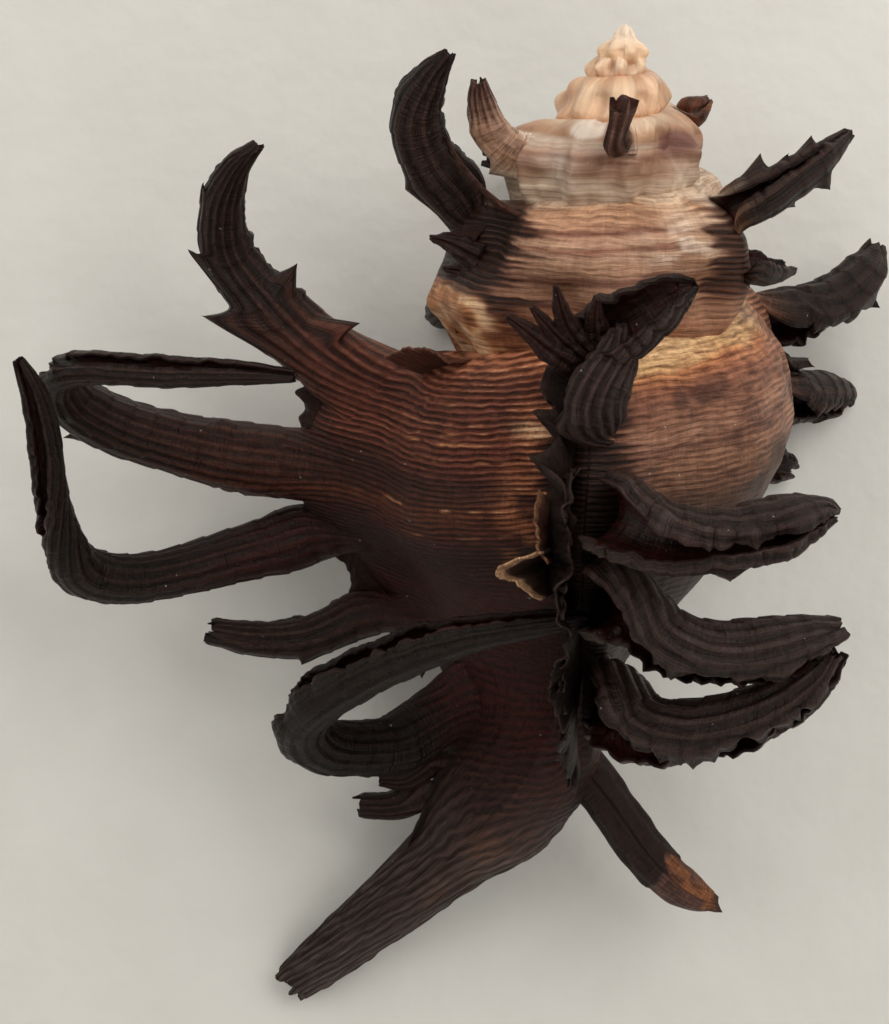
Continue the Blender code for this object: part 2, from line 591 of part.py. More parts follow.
def main():
    for thing in list(bpy.data.objects):
        bpy.data.objects.remove(thing)
    parts = bpy.data.collections.new("murex_shell_part")
    cutters = bpy.data.collections.new("cutters")
    for collection in (parts, cutters):
        bpy.context.scene.collection.children.link(collection)

    bodies = []
    start = FIRST_ANGLE
    while start < LAST_ANGLE - SECTOR_LAP:
        end = min(start + SECTOR, LAST_ANGLE)
        bodies.append(whorl_sector("whorl", start, end, parts))
        start = end - SECTOR_LAP
    bodies += [frond(name, *spec, parts) for name, spec in FRONDS.items()]
    bodies += spikelets(parts)
    old_line = [seen(x, y, z) for x, y, z, _ in OLD_CANAL]
    bodies.append(rod("old_canal", old_line, [half for *_, half in OLD_CANAL], parts))

    shell = join(bodies)
    shell.name = "murex_shell"
    fuse = shell.modifiers.new("fuse", "REMESH")
    fuse.mode = "VOXEL"
    fuse.voxel_size = VOXEL * MM
    cut_away(shell, hollow(cutters))
    cut_away(shell, slit(cutters))
    as_mesh(shell)
    triangles = sum(len(face.vertices) - 2 for face in shell.data.polygons)
    thin = shell.modifiers.new("thin", "DECIMATE")
    thin.ratio = TRIANGLES / triangles
    as_mesh(shell)
    keep_largest(shell.data)
    trim_at_rest(shell.data)
    shell.data.shade_smooth()
    shell.data.materials.clear()
    shell.data.materials.append(shell_material())


main()
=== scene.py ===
import math

import bpy
import numpy as np
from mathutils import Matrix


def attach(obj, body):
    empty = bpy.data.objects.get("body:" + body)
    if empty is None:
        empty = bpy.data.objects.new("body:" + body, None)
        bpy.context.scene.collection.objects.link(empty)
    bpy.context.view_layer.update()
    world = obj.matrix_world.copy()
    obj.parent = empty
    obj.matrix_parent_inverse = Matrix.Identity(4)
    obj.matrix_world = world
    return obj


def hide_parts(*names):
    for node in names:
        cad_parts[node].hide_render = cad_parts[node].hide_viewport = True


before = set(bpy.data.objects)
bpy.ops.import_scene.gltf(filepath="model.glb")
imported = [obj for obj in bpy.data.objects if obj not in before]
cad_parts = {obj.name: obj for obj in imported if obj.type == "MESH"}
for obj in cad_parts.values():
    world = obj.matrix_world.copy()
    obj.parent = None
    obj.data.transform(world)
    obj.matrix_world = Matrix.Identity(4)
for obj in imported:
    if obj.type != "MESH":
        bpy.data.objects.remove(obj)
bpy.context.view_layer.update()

# Floor, lights and camera
# A plain pale painted surface under the shell, seen from straight above. Soft window light
# comes from the upper right, and three weak soft lights fill in from the other sides.
bpy.ops.object.select_all(action="DESELECT")
bpy.ops.mesh.primitive_plane_add(size=1.6, location=(0, 0, 0))
floor = bpy.context.object
floor.name = "floor"

world = bpy.data.worlds.new("room")
world.use_nodes = True
background = world.node_tree.nodes["Background"]
background.inputs["Color"].default_value = (1, 0.98, 0.95, 1)
background.inputs["Strength"].default_value = 0.21
bpy.context.scene.world = world


def soft_light(name, place, size, power, colour):
    """A square area light that faces the shell."""
    light = bpy.data.lights.new(name, "AREA")
    light.size = size
    light.energy = power
    light.color = colour
    lamp = bpy.data.objects.new(name, light)
    bpy.context.scene.collection.objects.link(lamp)
    lamp.location = place
    lamp.rotation_euler = (math.atan2(math.hypot(place[0], place[1]), place[2]), 0,
                           math.atan2(place[1], place[0]) + math.pi / 2)


soft_light("window", (0.3, 0.24, 0.42), 0.46, 1.9, (1, 0.985, 0.955))
soft_light("fill_left", (-0.5, 0.18, 0.4), 0.6, 1.35, (1, 0.985, 0.96))
soft_light("fill_below", (0.12, -0.54, 0.42), 0.6, 1.35, (1, 0.98, 0.95))
soft_light("fill_above", (-0.08, 0.54, 0.42), 0.6, 1.35, (1, 0.985, 0.97))

SENSOR = 36
LENS_IN_PIXELS = 2300
PHOTO_HEIGHT = 1024
camera_data = bpy.data.cameras.new("camera")
camera_data.sensor_width = SENSOR
camera_data.lens = SENSOR * LENS_IN_PIXELS / PHOTO_HEIGHT
camera_data.clip_start = 0.01
camera = bpy.data.objects.new("camera", camera_data)
bpy.context.scene.collection.objects.link(camera)
camera.location = (-0.00295, 0.0038, 0.25)
bpy.context.scene.camera = camera
bpy.context.scene.view_settings.view_transform = "Standard"


class Field:
    """A socket that can be used in sums. Any other node comes from its node method."""

    def __init__(self, tree, socket):
        self.tree = tree
        self.socket = socket

    def node(self, kind, settings=None, values=None, out=0):
        """A new node with its settings and its sockets' values or links, as the field of one output."""
        made = self.tree.nodes.new(kind)
        for key, value in (settings or {}).items():
            setattr(made, key, value)
        for key, value in (values or {}).items():
            if isinstance(value, Field):
                self.tree.links.new(value.socket, made.inputs[key])
            else:
                made.inputs[key].default_value = value
        return Field(self.tree, made.outputs[out])

    def maths(self, operation, first, second=0):
        return self.node("ShaderNodeMath", {"operation": operation}, {0: first, 1: second})

    def __add__(self, other):
        return self.maths("ADD", self, other)

    def __sub__(self, other):
        return self.maths("SUBTRACT", self, other)

    def __rsub__(self, other):
        return self.maths("SUBTRACT", other, self)

    def __mul__(self, other):
        return self.maths("MULTIPLY", self, other)

    __radd__ = __add__
    __rmul__ = __mul__

    def step(self, low, high):
        """Rises smoothly from 0 to 1 between low and high."""
        return self.node("ShaderNodeMapRange", {"interpolation_type": "SMOOTHSTEP"},
                         {0: self, 1: low, 2: high, 3: 0, 4: 1})

    def mixed(self, first, second):
        """Two colours mixed by this share of the second."""
        return self.node("ShaderNodeMix", {"data_type": "RGBA"}, {0: self, 6: first, 7: second}, out=2)

    def tinted(self, tint):
        """This colour multiplied by a tint."""
        return self.node("ShaderNodeMix", {"data_type": "RGBA", "blend_type": "MULTIPLY"},
                         {0: 1, 6: self, 7: tint}, out=2)

    def part(self, k):
        """One of a vector's three values."""
        return self.node("ShaderNodeSeparateXYZ", None, {0: self}, out=k)

    def noise(self, scale, detail, rough=0.55, stretch=(1, 1, 1)):
        """Uneven values round 0.5 over these places, drawn out along one axis by stretch."""
        vector = self.node("ShaderNodeVectorMath", {"operation": "MULTIPLY"}, {0: self, 1: stretch})
        return self.node("ShaderNodeTexNoise", None,
                         {"Vector": vector, "Scale": scale, "Detail": detail, "Roughness": rough})


def new_finish(name):
    """A material with an empty Field to build on, and its shader."""
    material = bpy.data.materials.new(name)
    material.use_nodes = True
    return material, Field(material.node_tree, None), material.node_tree.nodes["Principled BSDF"]


def wire(shader, **sockets):
    """Sets or links the shader's own sockets."""
    for key, value in sockets.items():
        socket = shader.inputs[key.replace("_", " ")]
        if isinstance(value, Field):
            value.tree.links.new(value.socket, socket)
        else:
            socket.default_value = value


painted, field, shader = new_finish("painted_surface")
spot = field.node("ShaderNodeTexCoord", out=3)
dimples = spot.noise(430, 1.5)
swell = spot.noise(90, 2)
wire(shader,
     Base_Color=swell.step(0.3, 0.7).mixed((0.665, 0.645, 0.59, 1), (0.69, 0.672, 0.618, 1)),
     Roughness=0.6,
     Normal=field.node("ShaderNodeBump", None, {
         "Strength": 0.4, "Distance": 0.0005, "Height": dimples * 0.7 + swell * 0.35}))
floor.data.materials.append(painted)

# First whorls
# The oldest part of the shell: cream whorls with bead-like knobs, wound on a straight axis. The
# coil's own laws of growth stand here, because every later piece is grown by them.
MM = 0.001
TO_ORIGIN = np.array([-2.95, 3.8, 0])
APEX = np.array([17.1, 45.9, 32])
AXIS = np.array([-0.047, -0.959, -0.278])
STRAIGHT_LENGTH = 54
CORE_BEFORE = 3
CANAL_LINE = [
    (12.2, -15.5, 14.2), (9.6, -22.5, 11.8), (6, -28, 9.6), (1.2, -33.4, 7.2),
    (-4.2, -38.2, 5.2), (-9.8, -42.8, 3.3), (-15.8, -47.6, 1.5),
]
EYE_DISTANCE = 230
AXIS_LEVEL = 20
GIRTH = [
    (-2250, 0.35), (-1890, 1), (-1530, 2.2), (-1170, 4.3), (-810, 7.6), (-630, 9.9),
    (-450, 12.6), (-270, 15.4), (-90, 18.5), (0, 20.3), (110, 22.6),
]
SUTURE_AT_LIP = 33
SUTURE_GROWTH = 1.37
SUTURE_SLANT = 0.045
PROFILE = [
    (0, 0.6), (0.02, 0.66), (0.07, 0.75), (0.16, 0.84), (0.28, 0.92), (0.45, 0.975),
    (0.66, 1), (0.8, 0.965), (0.94, 0.905), (1.1, 0.82), (1.25, 0.73), (1.4, 0.62),
    (1.55, 0.5), (1.7, 0.4), (1.85, 0.31), (2, 0.245), (3, 0.05), (9, 0),
]
WAIST_ANGLE = (-175, -35)
WAIST_SHARE = (1.2, 1.95)
WAIST_DEPTH = 0.3
CANAL = [
    (0, 0), (50, 2), (60, 4.2), (70, 5.8), (76, 6.9), (82, 6.8), (90, 4.3), (100, 3.4),
    (108, 2.7), (112.8, 2.1),
]
CANAL_FLATNESS = 0.15
LIP, TOP, SIDE, BACK, FORE, UNDER = 100, 5, -115, -262, -410, -532
VARICES = [
    (LIP, [(0, 0.1), (0.1, 0.32), (0.75, 0.34), (0.95, 0.32), (1.15, 0.26), (1.35, 0.21),
           (1.6, 0.14), (1.9, 0.08), (2.1, 0.04), (2.4, 0)]),
    (TOP, [(0, 0.06), (0.1, 0.14), (0.65, 0.15), (1.2, 0.12), (1.9, 0.1), (2.3, 0.03), (2.5, 0)]),
    (SIDE, [(0, 0.06), (0.1, 0.14), (0.65, 0.12), (1.2, 0.06), (1.6, 0)]),
    (BACK, [(0, 0.06), (0.1, 0.11), (0.3, 0.08), (0.65, 0.06), (1.2, 0.05), (1.4, 0)]),
]
for angle, near_seam, lower in (
        (FORE, 0.13, 0.1), (UNDER, 0.13, 0.13), (-632, 0.15, 0.12), (-724, 0.1, 0.1), (-830, 0.1, 0.1)):
    VARICES.append((angle, [(0, 0.05), (0.15, near_seam), (0.8, lower), (1.2, 0)]))
VARIX_RISE = 30
VARIX_DROP = 9
TOP_SWING = [(0, 0), (52, 0), (60, -12), (66, -30), (72, -55), (76, -66), (113, -66)]
RIB_LIFT = 0.02
KNOB_LIFT = 0.05
BEAD_LIFT = 0.44
KNOBS_BEFORE = -880
KNOBS_PER_TURN = 8
PINCHES = ((-860, -740), (-1250, -1090))
PINCH_DEPTH = 0.055
BEADS_PER_TURN = 7
SLIT_FROM = 73
SLIT_ALONG = [(75, -242), (80, -225), (86, -214), (93, -210), (113, -210)]
BROKEN_TIP = 2.6
OLD_RIBS = (-560, -590, -655, -690, -776, -806)


def cubic(u, start, slope, end, last_slope):
    """A smooth way from start to end with the slopes given for both."""
    return ((2 * u**3 - 3 * u**2 + 1) * start + (u**3 - 2 * u**2 + u) * slope
            + (3 * u**2 - 2 * u**3) * end + (u**3 - u**2) * last_slope)


def smooth_curve(points, steps):
    """Points along a smooth curve through the given points."""
    points = np.asarray(points, float)
    ends = np.vstack([2 * points[0] - points[1], points, 2 * points[-1] - points[-2]])
    u = np.linspace(0, 1, steps, endpoint=False)[:, None]
    spans = [cubic(u, b, (c - a) / 2, c, (d - b) / 2)
             for a, b, c, d in zip(ends, ends[1:], ends[2:], ends[3:])]
    return np.concatenate(spans + [points[-1:]])


def read(x, table):
    """A value read from straight lines through a table."""
    return np.interp(x, *np.asarray(table, float).T)


def read_rows(x, places, rows):
    """Rows of values read from straight lines between the rows given at places."""
    return np.stack([np.interp(x, places, column) for column in np.transpose(rows)], -1)


def through(x, table):
    """A value read from a smooth curve through a table, with no overshoot."""
    xs, ys = np.asarray(table, float).T
    steps = np.diff(ys) / np.diff(xs)
    slopes = np.concatenate([steps[:1], np.zeros(len(xs) - 2), steps[-1:]])
    same_way = steps[1:] * steps[:-1] > 0
    slopes[1:-1] = np.where(same_way, 2 * steps[1:] * steps[:-1] / (steps[1:] + steps[:-1] + 1e-12), 0)
    x = np.clip(x, xs[0], xs[-1])
    i = np.clip(np.searchsorted(xs, x) - 1, 0, len(xs) - 2)
    width = xs[i + 1] - xs[i]
    return cubic((x - xs[i]) / width, ys[i], width * slopes[i], ys[i + 1], width * slopes[i + 1])


def ease(x):
    """A smooth step from 0 to 1."""
    x = np.clip(x, 0, 1)
    return x * x * (3 - 2 * x)


def hump(x, low, high):
    """A smooth rise and fall from 0 to 1 between low and high."""
    return np.cos(np.pi * (np.clip((x - low) / (high - low), 0, 1) - 0.5)) ** 2


def seen(x, y, z):
    """The true place of a point that is seen at x, y from straight above and lies at height z."""
    share = (EYE_DISTANCE - (z - AXIS_LEVEL)) / EYE_DISTANCE
    return np.array([x * share, y * share, z])


def wobble(x, seed):
    """Smooth uneven values from -1 to 1 along x, the same on every run."""
    table = np.random.default_rng(seed).uniform(-1, 1, 512)
    x = np.asarray(x, float)
    i = np.floor(x).astype(int)
    u = ease(x - i)
    return table[i % 512] * (1 - u) + table[(i + 1) % 512] * u


def mottle(x, y, seed):
    """Smooth uneven values from -1 to 1 over a surface, the same on every run."""
    table = np.random.default_rng(seed).uniform(-1, 1, (256, 256))
    x, y = np.broadcast_arrays(np.asarray(x, float), np.asarray(y, float))
    i, j = np.floor(x).astype(int), np.floor(y).astype(int)
    u, v = ease(x - i), ease(y - j)
    a, b = table[i % 256, j % 256], table[(i + 1) % 256, j % 256]
    c, d = table[i % 256, (j + 1) % 256], table[(i + 1) % 256, (j + 1) % 256]
    return (a * (1 - u) + b * u) * (1 - v) + (c * (1 - u) + d * u) * v


def blended(a, b, share):
    """Two colours mixed by the share of the second."""
    return np.asarray(a) * (1 - share[..., None]) + np.asarray(b) * share[..., None]


def unit(v):
    """The same directions with a length of 1."""
    return v / np.linalg.norm(v, axis=-1, keepdims=True)


def distance_along(line):
    """How far each point of a line lies from its start, along it."""
    return np.concatenate([[0], np.cumsum(np.linalg.norm(np.diff(line, axis=0), axis=1))])


def frames_along(line, start):
    """Tangents of a line and the direction start carried along it without twist."""
    along = unit(np.gradient(line, axis=0))
    carried = [start]
    for step in along:
        carried.append(unit(carried[-1] - step * carried[-1].dot(step)))
    return along, np.array(carried[1:])


axis = unit(AXIS)
first_side = unit(np.cross(axis, (0, 0, 1)))
first_side *= np.sign(first_side[0])
first_front = np.cross(first_side, axis)
first_front *= np.sign(first_front[2])
core_points = [APEX + axis * h for h in (-CORE_BEFORE, 10, 22, 34, 44, STRAIGHT_LENGTH)]
core_line = smooth_curve(core_points + [seen(*place) for place in CANAL_LINE], 20)
core_gone = distance_along(core_line) - CORE_BEFORE
CANAL_TIP = core_gone[-1]
core_along, core_fronts = frames_along(core_line, first_front)
core_sides = np.cross(core_along, core_fronts)
core_sides *= np.sign(core_sides[0].dot(first_side))


def core_at(h):
    """Centre, front direction and side direction at distance h from the apex."""
    return [read_rows(h, core_gone, rows) for rows in (core_line, core_fronts, core_sides)]


def girth(s):
    """The whorl's greatest radius at growth angle s."""
    angles, radii = np.array(GIRTH, float).T
    return np.exp(np.interp(s, angles, np.log(radii)))


def way_round(s):
    """How far the coil has grown round its axis at growth angle s."""
    return np.radians(s) * girth(s)


def suture(s):
    """Where the seam with the whorl before lies, as a distance along the core line."""
    slant = SUTURE_SLANT * girth(s) * np.sin(np.radians(s))
    return SUTURE_AT_LIP * SUTURE_GROWTH ** ((np.asarray(s, float) - 90) / 180) - slant


def below_seam(s, h):
    """How far a place lies below its whorl's seam, as a share of the whorl's radius."""
    return (h - suture(s)) / girth(s)


def crest(angle, h):
    """The growth angle of a ridge at h. The top one swings round on its way to the canal."""
    return angle + through(h, TOP_SWING) if angle == TOP else angle + 0 * h


def varix_height(s, h):
    """How far the grown ridges stand out from the whorl."""
    share = below_seam(s, h)
    lift = 0
    for first_angle, ridge in VARICES:
        angle = crest(first_angle, h)
        before = ease(1 - (angle - s) / VARIX_RISE) ** 2 * (s <= angle)
        after = ease(1 - (s - angle) / VARIX_DROP) * (s > angle)
        lift = lift + (before + after) * through(share, ridge)
    return lift * girth(s)


def radius(s, h):
    """Distance of the shell's surface from the core line, before its fine relief."""
    share = below_seam(s, h)
    waist = WAIST_DEPTH * hump(s, *WAIST_ANGLE) * hump(share, *WAIST_SHARE)
    waist = waist + PINCH_DEPTH * sum(hump(s, *pinch) for pinch in PINCHES) * hump(share, 0, 1.3)
    ribs = np.cos(np.radians(s * KNOBS_PER_TURN / 2)) ** 2 * hump(share, 0, 1.1)
    lift = RIB_LIFT + (KNOB_LIFT - RIB_LIFT) * ease((KNOBS_BEFORE - s) / 120)
    whorl = (through(share, PROFILE) * (1 - waist) + lift * ribs) * girth(s)
    canal = through(h, CANAL)
    return (whorl**6 + canal**6) ** (1 / 6) + varix_height(s, h)


def place(s, h, r):
    """The point at growth angle s, distance h along the core line and radius r from it."""
    centre, front, side = core_at(h)
    turn = -np.radians(s)
    flat = 1 - CANAL_FLATNESS * np.clip((h - 68) / 12, 0, 1)
    return centre + front * (r * np.cos(turn) * flat)[..., None] + side * (r * np.sin(turn))[..., None]


def on_shell(s, h, depth=0):
    """The point on the shell's surface, or at a depth under it."""
    s, h = np.broadcast_arrays(np.asarray(s, float), np.asarray(h, float))
    return place(s, h, radius(s, h) - depth)


LEVEL_CLIMB = 0.065
LEVEL_FROM = 62
CORD_COUNT = [(20, -22), (33, 0), (41, 13.2), (50, 31), (62, 49), (80, 63), (113, 70)]
CORD_TILT = [(56, 0), (70, 0.05), (85, 0.08), (100, 0.065), (113, 0.055)]
CORD_LIFT = [
    (30, 0.15), (40, 0.14), (42, 0.09), (50, 0.06), (56, 0.02), (66, 0.03), (78, 0.09), (88, 0.14)]
CORD_SHADE = [
    (30, 0.95), (40, 0.9), (42, 0.65), (48, 0.55), (54, 0.3), (66, 0.3), (78, 0.5), (90, 0.55)]


def level_along(s, h):
    """Where a cord that passes here crosses the middle of the left side."""
    risen = LEVEL_FROM - 8 * np.log1p(np.exp((LEVEL_FROM - s) / 8))
    climb = LEVEL_CLIMB * (risen - 43) * ease((60 - h) / 10)
    return h - climb * (s > TOP)


def cord_number(s, h):
    """Which cord a place lies on, counted across them. They run level over the last flank, and
    follow half of the coil's climb before it."""
    s, h = np.broadcast_arrays(np.asarray(s, float), np.asarray(h, float))
    level = level_along(s, h) - 0.5 * (suture(np.minimum(s, TOP)) - suture(TOP)) * (s < TOP)
    waves = 0.07 * mottle(way_round(s) / 0.8, h / 2.4, 18) * ease((42 - h) / 4) * (s > TOP)
    bends = 0.28 * mottle(s / 14, h / 2, 11) + 0.16 * mottle(s / 5, h / 1.1, 10)
    return read(level, CORD_COUNT) - (s - 50) * read(h, CORD_TILT) + waves + bends


def cords(number, along):
    """Rounded cords with narrow grooves between them."""
    strength = 0.8 + 0.3 * mottle(along / 12, np.round(number) * 5.3, 12)
    return strength * np.abs(np.cos(np.pi * number)) ** 0.8


def bead_shape(s):
    """Round knobs side by side, a little uneven."""
    uneven = 0.8 + 0.4 * wobble(s / 45, 30)
    turn = np.radians(BEADS_PER_TURN * (s + 9 * wobble(s / 60, 29)))
    return uneven * (0.5 + 0.5 * np.cos(turn)) ** 0.9


def slit_share(h):
    """Rises from 0 to 1 where the canal's slit opens."""
    return ease((h - SLIT_FROM) / 2.5)


def relief(s, h):
    """Fine relief on the shell, in mm: cords, wrinkles of growth, beads and the canal's slit."""
    around = girth(s)
    size = around / girth(0)
    along = way_round(s)
    down = below_seam(s, h)
    lift = read(h, CORD_LIFT)
    lift = np.where(s < TOP, 0.045 + 0.5 * lift * (h > 56), lift) * np.minimum(1, 2 * size) * (s > -960)
    wrinkles = 0.05 * mottle(along / 0.9, h / 3.2, 13) + 0.11 * mottle(along / 2.7, h / 5, 14)
    lumps = 0.42 * mottle(s / 6, h / 2, 17) * (hump(s, -140, -40) + 0.6 * (s < BACK)) * size
    frill = 0.25 * size * wobble(along / 1.6, 15) * ease(1 - down / 0.1)
    beads = BEAD_LIFT * (bead_shape(s) - 0.5) * hump(down, 0.06, 0.8) * ease((-830 - s) / 60)
    beads = beads + 0.11 * mottle(s / 20, down * 3, 19) * (s < BACK) * ease((s + 1500) / 400)
    dents = mottle(s / 15, down * 2.2, 27) + 0.35 * mottle(s / 5, down * 7, 28)
    beads = beads + 0.1 * dents * hump(s, -900, -540)
    for rib in OLD_RIBS:
        beads = beads + 0.075 * np.exp(-((s - rib + 6 * down) / 5) ** 2) * hump(down, -0.1, 1.3)
    off_slit = np.radians(s - read(h, SLIT_ALONG)) * read(h, CANAL)
    slit = -1.1 * np.exp(-(off_slit / 0.42) ** 2) + 0.25 * np.exp(-((np.abs(off_slit) - 1) / 0.4) ** 2)
    skin = cords(cord_number(s, h), along) * lift + wrinkles * size + frill + lumps
    return skin * ease(down / 0.04 + 0.3) + beads * around + slit * slit_share(h)


def tone(*rgb):
    """A colour as it looks in daylight, from 0 to 255, as the renderer wants it."""
    return (np.array(rgb) / 255) ** 2.2


def ladder(x, table):
    """Colours read from steps of (place, red, green, blue)."""
    return read_rows(x, [row[0] for row in table], [tone(*row[1:]) for row in table])


FIRST_SHADES = [
    (0, 214, 180, 148), (0.15, 232, 204, 172), (0.55, 226, 190, 156), (0.9, 205, 158, 122),
    (1.2, 190, 140, 105)]
THIRD_SHADES = [
    (0, 228, 206, 180), (0.7, 196, 158, 128), (1.6, 162, 124, 98), (2.8, 172, 128, 102),
    (3.8, 142, 104, 84), (5, 168, 134, 110), (6, 206, 186, 164)]
PENULT_SHADES = [
    (0, 224, 202, 176), (0.7, 196, 154, 122), (1.5, 186, 144, 114), (2.2, 180, 138, 110),
    (2.6, 124, 80, 64), (3, 186, 146, 120), (3.6, 190, 154, 128), (4, 138, 92, 74), (4.5, 188, 152, 126),
    (5.4, 178, 138, 112), (6.2, 170, 130, 106), (6.9, 112, 74, 58), (7.5, 152, 114, 92),
    (8.4, 166, 126, 102), (9.4, 134, 92, 70), (10.6, 150, 104, 76), (13, 150, 100, 72)]
STRIP_SHADES = [(-2, 168, 112, 74), (0, 196, 140, 96), (2, 226, 190, 150)]
RIGHT_SHADES = [
    (0, 206, 172, 130), (1.6, 198, 160, 114), (2.3, 178, 120, 82), (3.4, 140, 92, 70), (4.6, 118, 80, 64),
    (6, 138, 98, 78), (7.2, 146, 108, 88), (8.4, 112, 78, 64), (9.6, 132, 96, 76), (12, 104, 74, 58),
    (14, 84, 60, 48), (18, 54, 34, 28), (24, 44, 26, 22)]
LEFT_SHADES = [
    (31, 138, 88, 64), (32.2, 96, 56, 42), (35, 84, 47, 36), (37.6, 90, 50, 38), (40.2, 74, 40, 31),
    (41.4, 52, 28, 23), (43, 58, 32, 24), (44.3, 76, 42, 28), (46.2, 64, 31, 23), (48, 44, 20, 16),
    (54, 50, 19, 14), (63, 46, 16, 11), (70, 52, 19, 12), (77, 44, 23, 18), (88, 52, 40, 36),
    (113, 60, 51, 47)]
NEAR_BLACK = tone(36, 23, 19)
GLOW = tone(190, 122, 84)
MAUVE = tone(132, 92, 86)
PALE_CORDS = [(34.3, 0.4), (36, 0.4), (36.9, 0.7), (37.7, 0.6), (39.3, 0.45), (44, 0.5), (46.4, 0.35)]
VARIX_SHADES = [
    (LIP, 30, 28, 8, 0.45, (30, 90)), (TOP, 14, 11, 15, 1, (31, 80)), (SIDE, 12, 12, 8, 0.5, (24, 46)),
    (BACK, 72, 30, 10, 0.97, (14.5, 31)), (FORE, 16, 12, 14, 0.85, (14, 27)),
    (UNDER, 16, 14, 9, 0.8, (12, 24)), (-632, 10, 8, 6, 0.2, (9, 16)), (-724, 7, 7, 9, 0.55, (8, 13.5))]


def coated(colour, *coats):
    """A colour under coats of other colours, each with the share that it covers."""
    for coat, share in coats:
        colour = blended(colour, coat, share)
    return colour


def shell_colour(s, h):
    """The ground colour where it grew, with painted shade between the first beads, and its marks: dark
    dashes, softness, and the strength of the painted shade in the cords' grooves and of the painted
    highlights on their crests.
    """
    s, h = np.broadcast_arrays(np.asarray(s, float), np.asarray(h, float))
    down = h - suture(s)
    along = way_round(s)

    def patches(length, height, seed):
        return mottle(along / length, h / height, seed)

    drift = 0.5 * mottle(s / 22, h / 3, 20) + 0.25 * patches(1.2, 1.1, 23)
    third = ease((s + 880) / 50)
    stain = ease(1.2 * patches(2.6, 1.6, 35) + 0.5 * patches(0.9, 0.5, 36))
    chalk = ease(1.3 * patches(2, 1.3, 37) - 0.1) * hump(down, -1.5, 4)
    mauve = np.maximum(hump(s, -790, -742) * hump(down, 0.5, 4), hump(s, -722, -700) * hump(down, -1, 3))
    older = coated(
        ladder(down / girth(s) + 0.2 * drift, FIRST_SHADES),
        # Painted shade: darker tan in the valleys between the beads, partly the shell's own tan colour.
        (tone(176, 122, 90), 0.6 * ease(0.9 - 1.3 * bead_shape(s) + 0.9 * drift)),
        (tone(238, 216, 188), 0.7 * ease((-1250 - s) / 400)),
        (ladder(down + 1.6 * drift, THIRD_SHADES), third),
        (tone(142, 102, 82), 0.75 * stain * third),
        (tone(238, 224, 206), 0.8 * chalk * third),
        (tone(240, 230, 216), 0.9 * ease(2.2 * hump(s, -716, -674) * hump(h, 7.3, 10.4) + drift)),
        (MAUVE, 0.85 * ease(mauve * 1.5 + 0.3 * drift)))

    banded = ease((s + 402) / 30 + 0.5 * drift)
    blotch = patches(1.5, 1.1, 32) + 0.5 * patches(0.6, 0.5, 33)
    white = hump(s, -418, -362) * hump(down, 0, 7.5) * ease(0.9 * blotch + 0.3)
    strip = ease((s + 312) / 10 + 0.5 * blotch) * ease((h - 24) / 1.6) * (s < BACK)
    penult = coated(
        ladder(down * 0.25 + drift, THIRD_SHADES),
        (ladder(down + 0.5 * drift, PENULT_SHADES), 0.25 + 0.75 * banded),
        (tone(232, 212, 192), 0.95 * white),
        (tone(150, 92, 74), 0.6 * hump(s, -372, -340) * hump(down, 1.5, 6) * ease(0.1 - blotch)),
        (tone(206, 140, 84), 0.6 * hump(s, -425, -385) * hump(down, -0.5, 3) * ease(blotch + 0.2)),
        (ladder(2.5 * blotch, STRIP_SHADES), strip))

    last = ease((s + 262) / 14)
    shadow = ease(1.5 * patches(4, 2.4, 44) + 0.5 * patches(1.2, 0.9, 45) - 0.1) * ease((down - 2) / 2)
    right = blended(ladder(down + 0.9 * drift, RIGHT_SHADES), tone(150, 110, 90),
                    0.7 * ease((-62 - s) / 20) * ease((44 - h) / 6))
    right = blended(right * 1.15, right * (0.46, 0.42, 0.46), 0.8 * shadow)
    colour = coated(older, (penult, ease((s + 540) / 12)), (right, last))
    colour = colour * (1 - 0.19 * third + 0.07 * last)[..., None]

    level = level_along(s, h)
    glow = ease(1 - (s - 12) / 24) * ease((50 - h) / 5) * ease(0.35 + 1 * patches(2.4, 1.3, 25))
    pale_spot = np.exp(-((s - 21) / 4.5) ** 2 - ((h - 35.2) / 0.55) ** 2)
    left = coated(ladder(level + 0.5 * drift, LEFT_SHADES), (GLOW, 0.62 * glow),
                  (tone(224, 186, 146), 0.85 * pale_spot))
    for line_h, strength in PALE_CORDS:
        pale = strength * np.exp(-((level + 0.25 * drift - line_h) / 0.13) ** 2)
        pale = pale * ease(0.2 + 1.4 * mottle(along / 1.6, line_h, 26)) * ease((86 - s) / 20)
        left = blended(left, tone(176, 122, 86), pale)
    left = coated(
        left, (tone(74, 49, 36), 0.6 * hump(s, -60, 30) * hump(h, 74, 100) * ease(0.6 + drift)),
        (tone(150, 116, 84), 0.5 * hump(s, 70, 96) * hump(h, 42, 50) * ease(2 * drift)))
    on_canal = ease((h - 58) / 8)
    colour = blended(colour, left, np.maximum(ease((s - TOP + 2) / 3), on_canal))

    number = 1.2 * cord_number(s, h)
    streaks = mottle(along / 7, number, 38) + 0.5 * mottle(along / 3, 2 * number, 39)
    dark = 0
    for angle, before, fade, after, strength, (low, high) in VARIX_SHADES:
        off = crest(angle, h) - s
        near = off + 3 * drift + np.sign(off) * np.minimum(0.34 * before, 13) * streaks
        close = np.where(near > 0, ease((before - near) / fade), ease((after + near) / (0.6 * after)))
        dark = np.maximum(dark, strength * close * ease((h - low) / 3) * ease((high - h) / 6))
    dark = dark * (1 - strip)
    off_slit = s - read(h, SLIT_ALONG)
    colour = coated(
        colour, (colour * (0.34, 0.24, 0.22), np.minimum(1.6 * dark, 1)),
        (NEAR_BLACK, np.clip(1.7 * dark - 0.7, 0, 1)),
        (NEAR_BLACK * 0.4, np.exp(-(off_slit / 5) ** 2) * slit_share(h)))

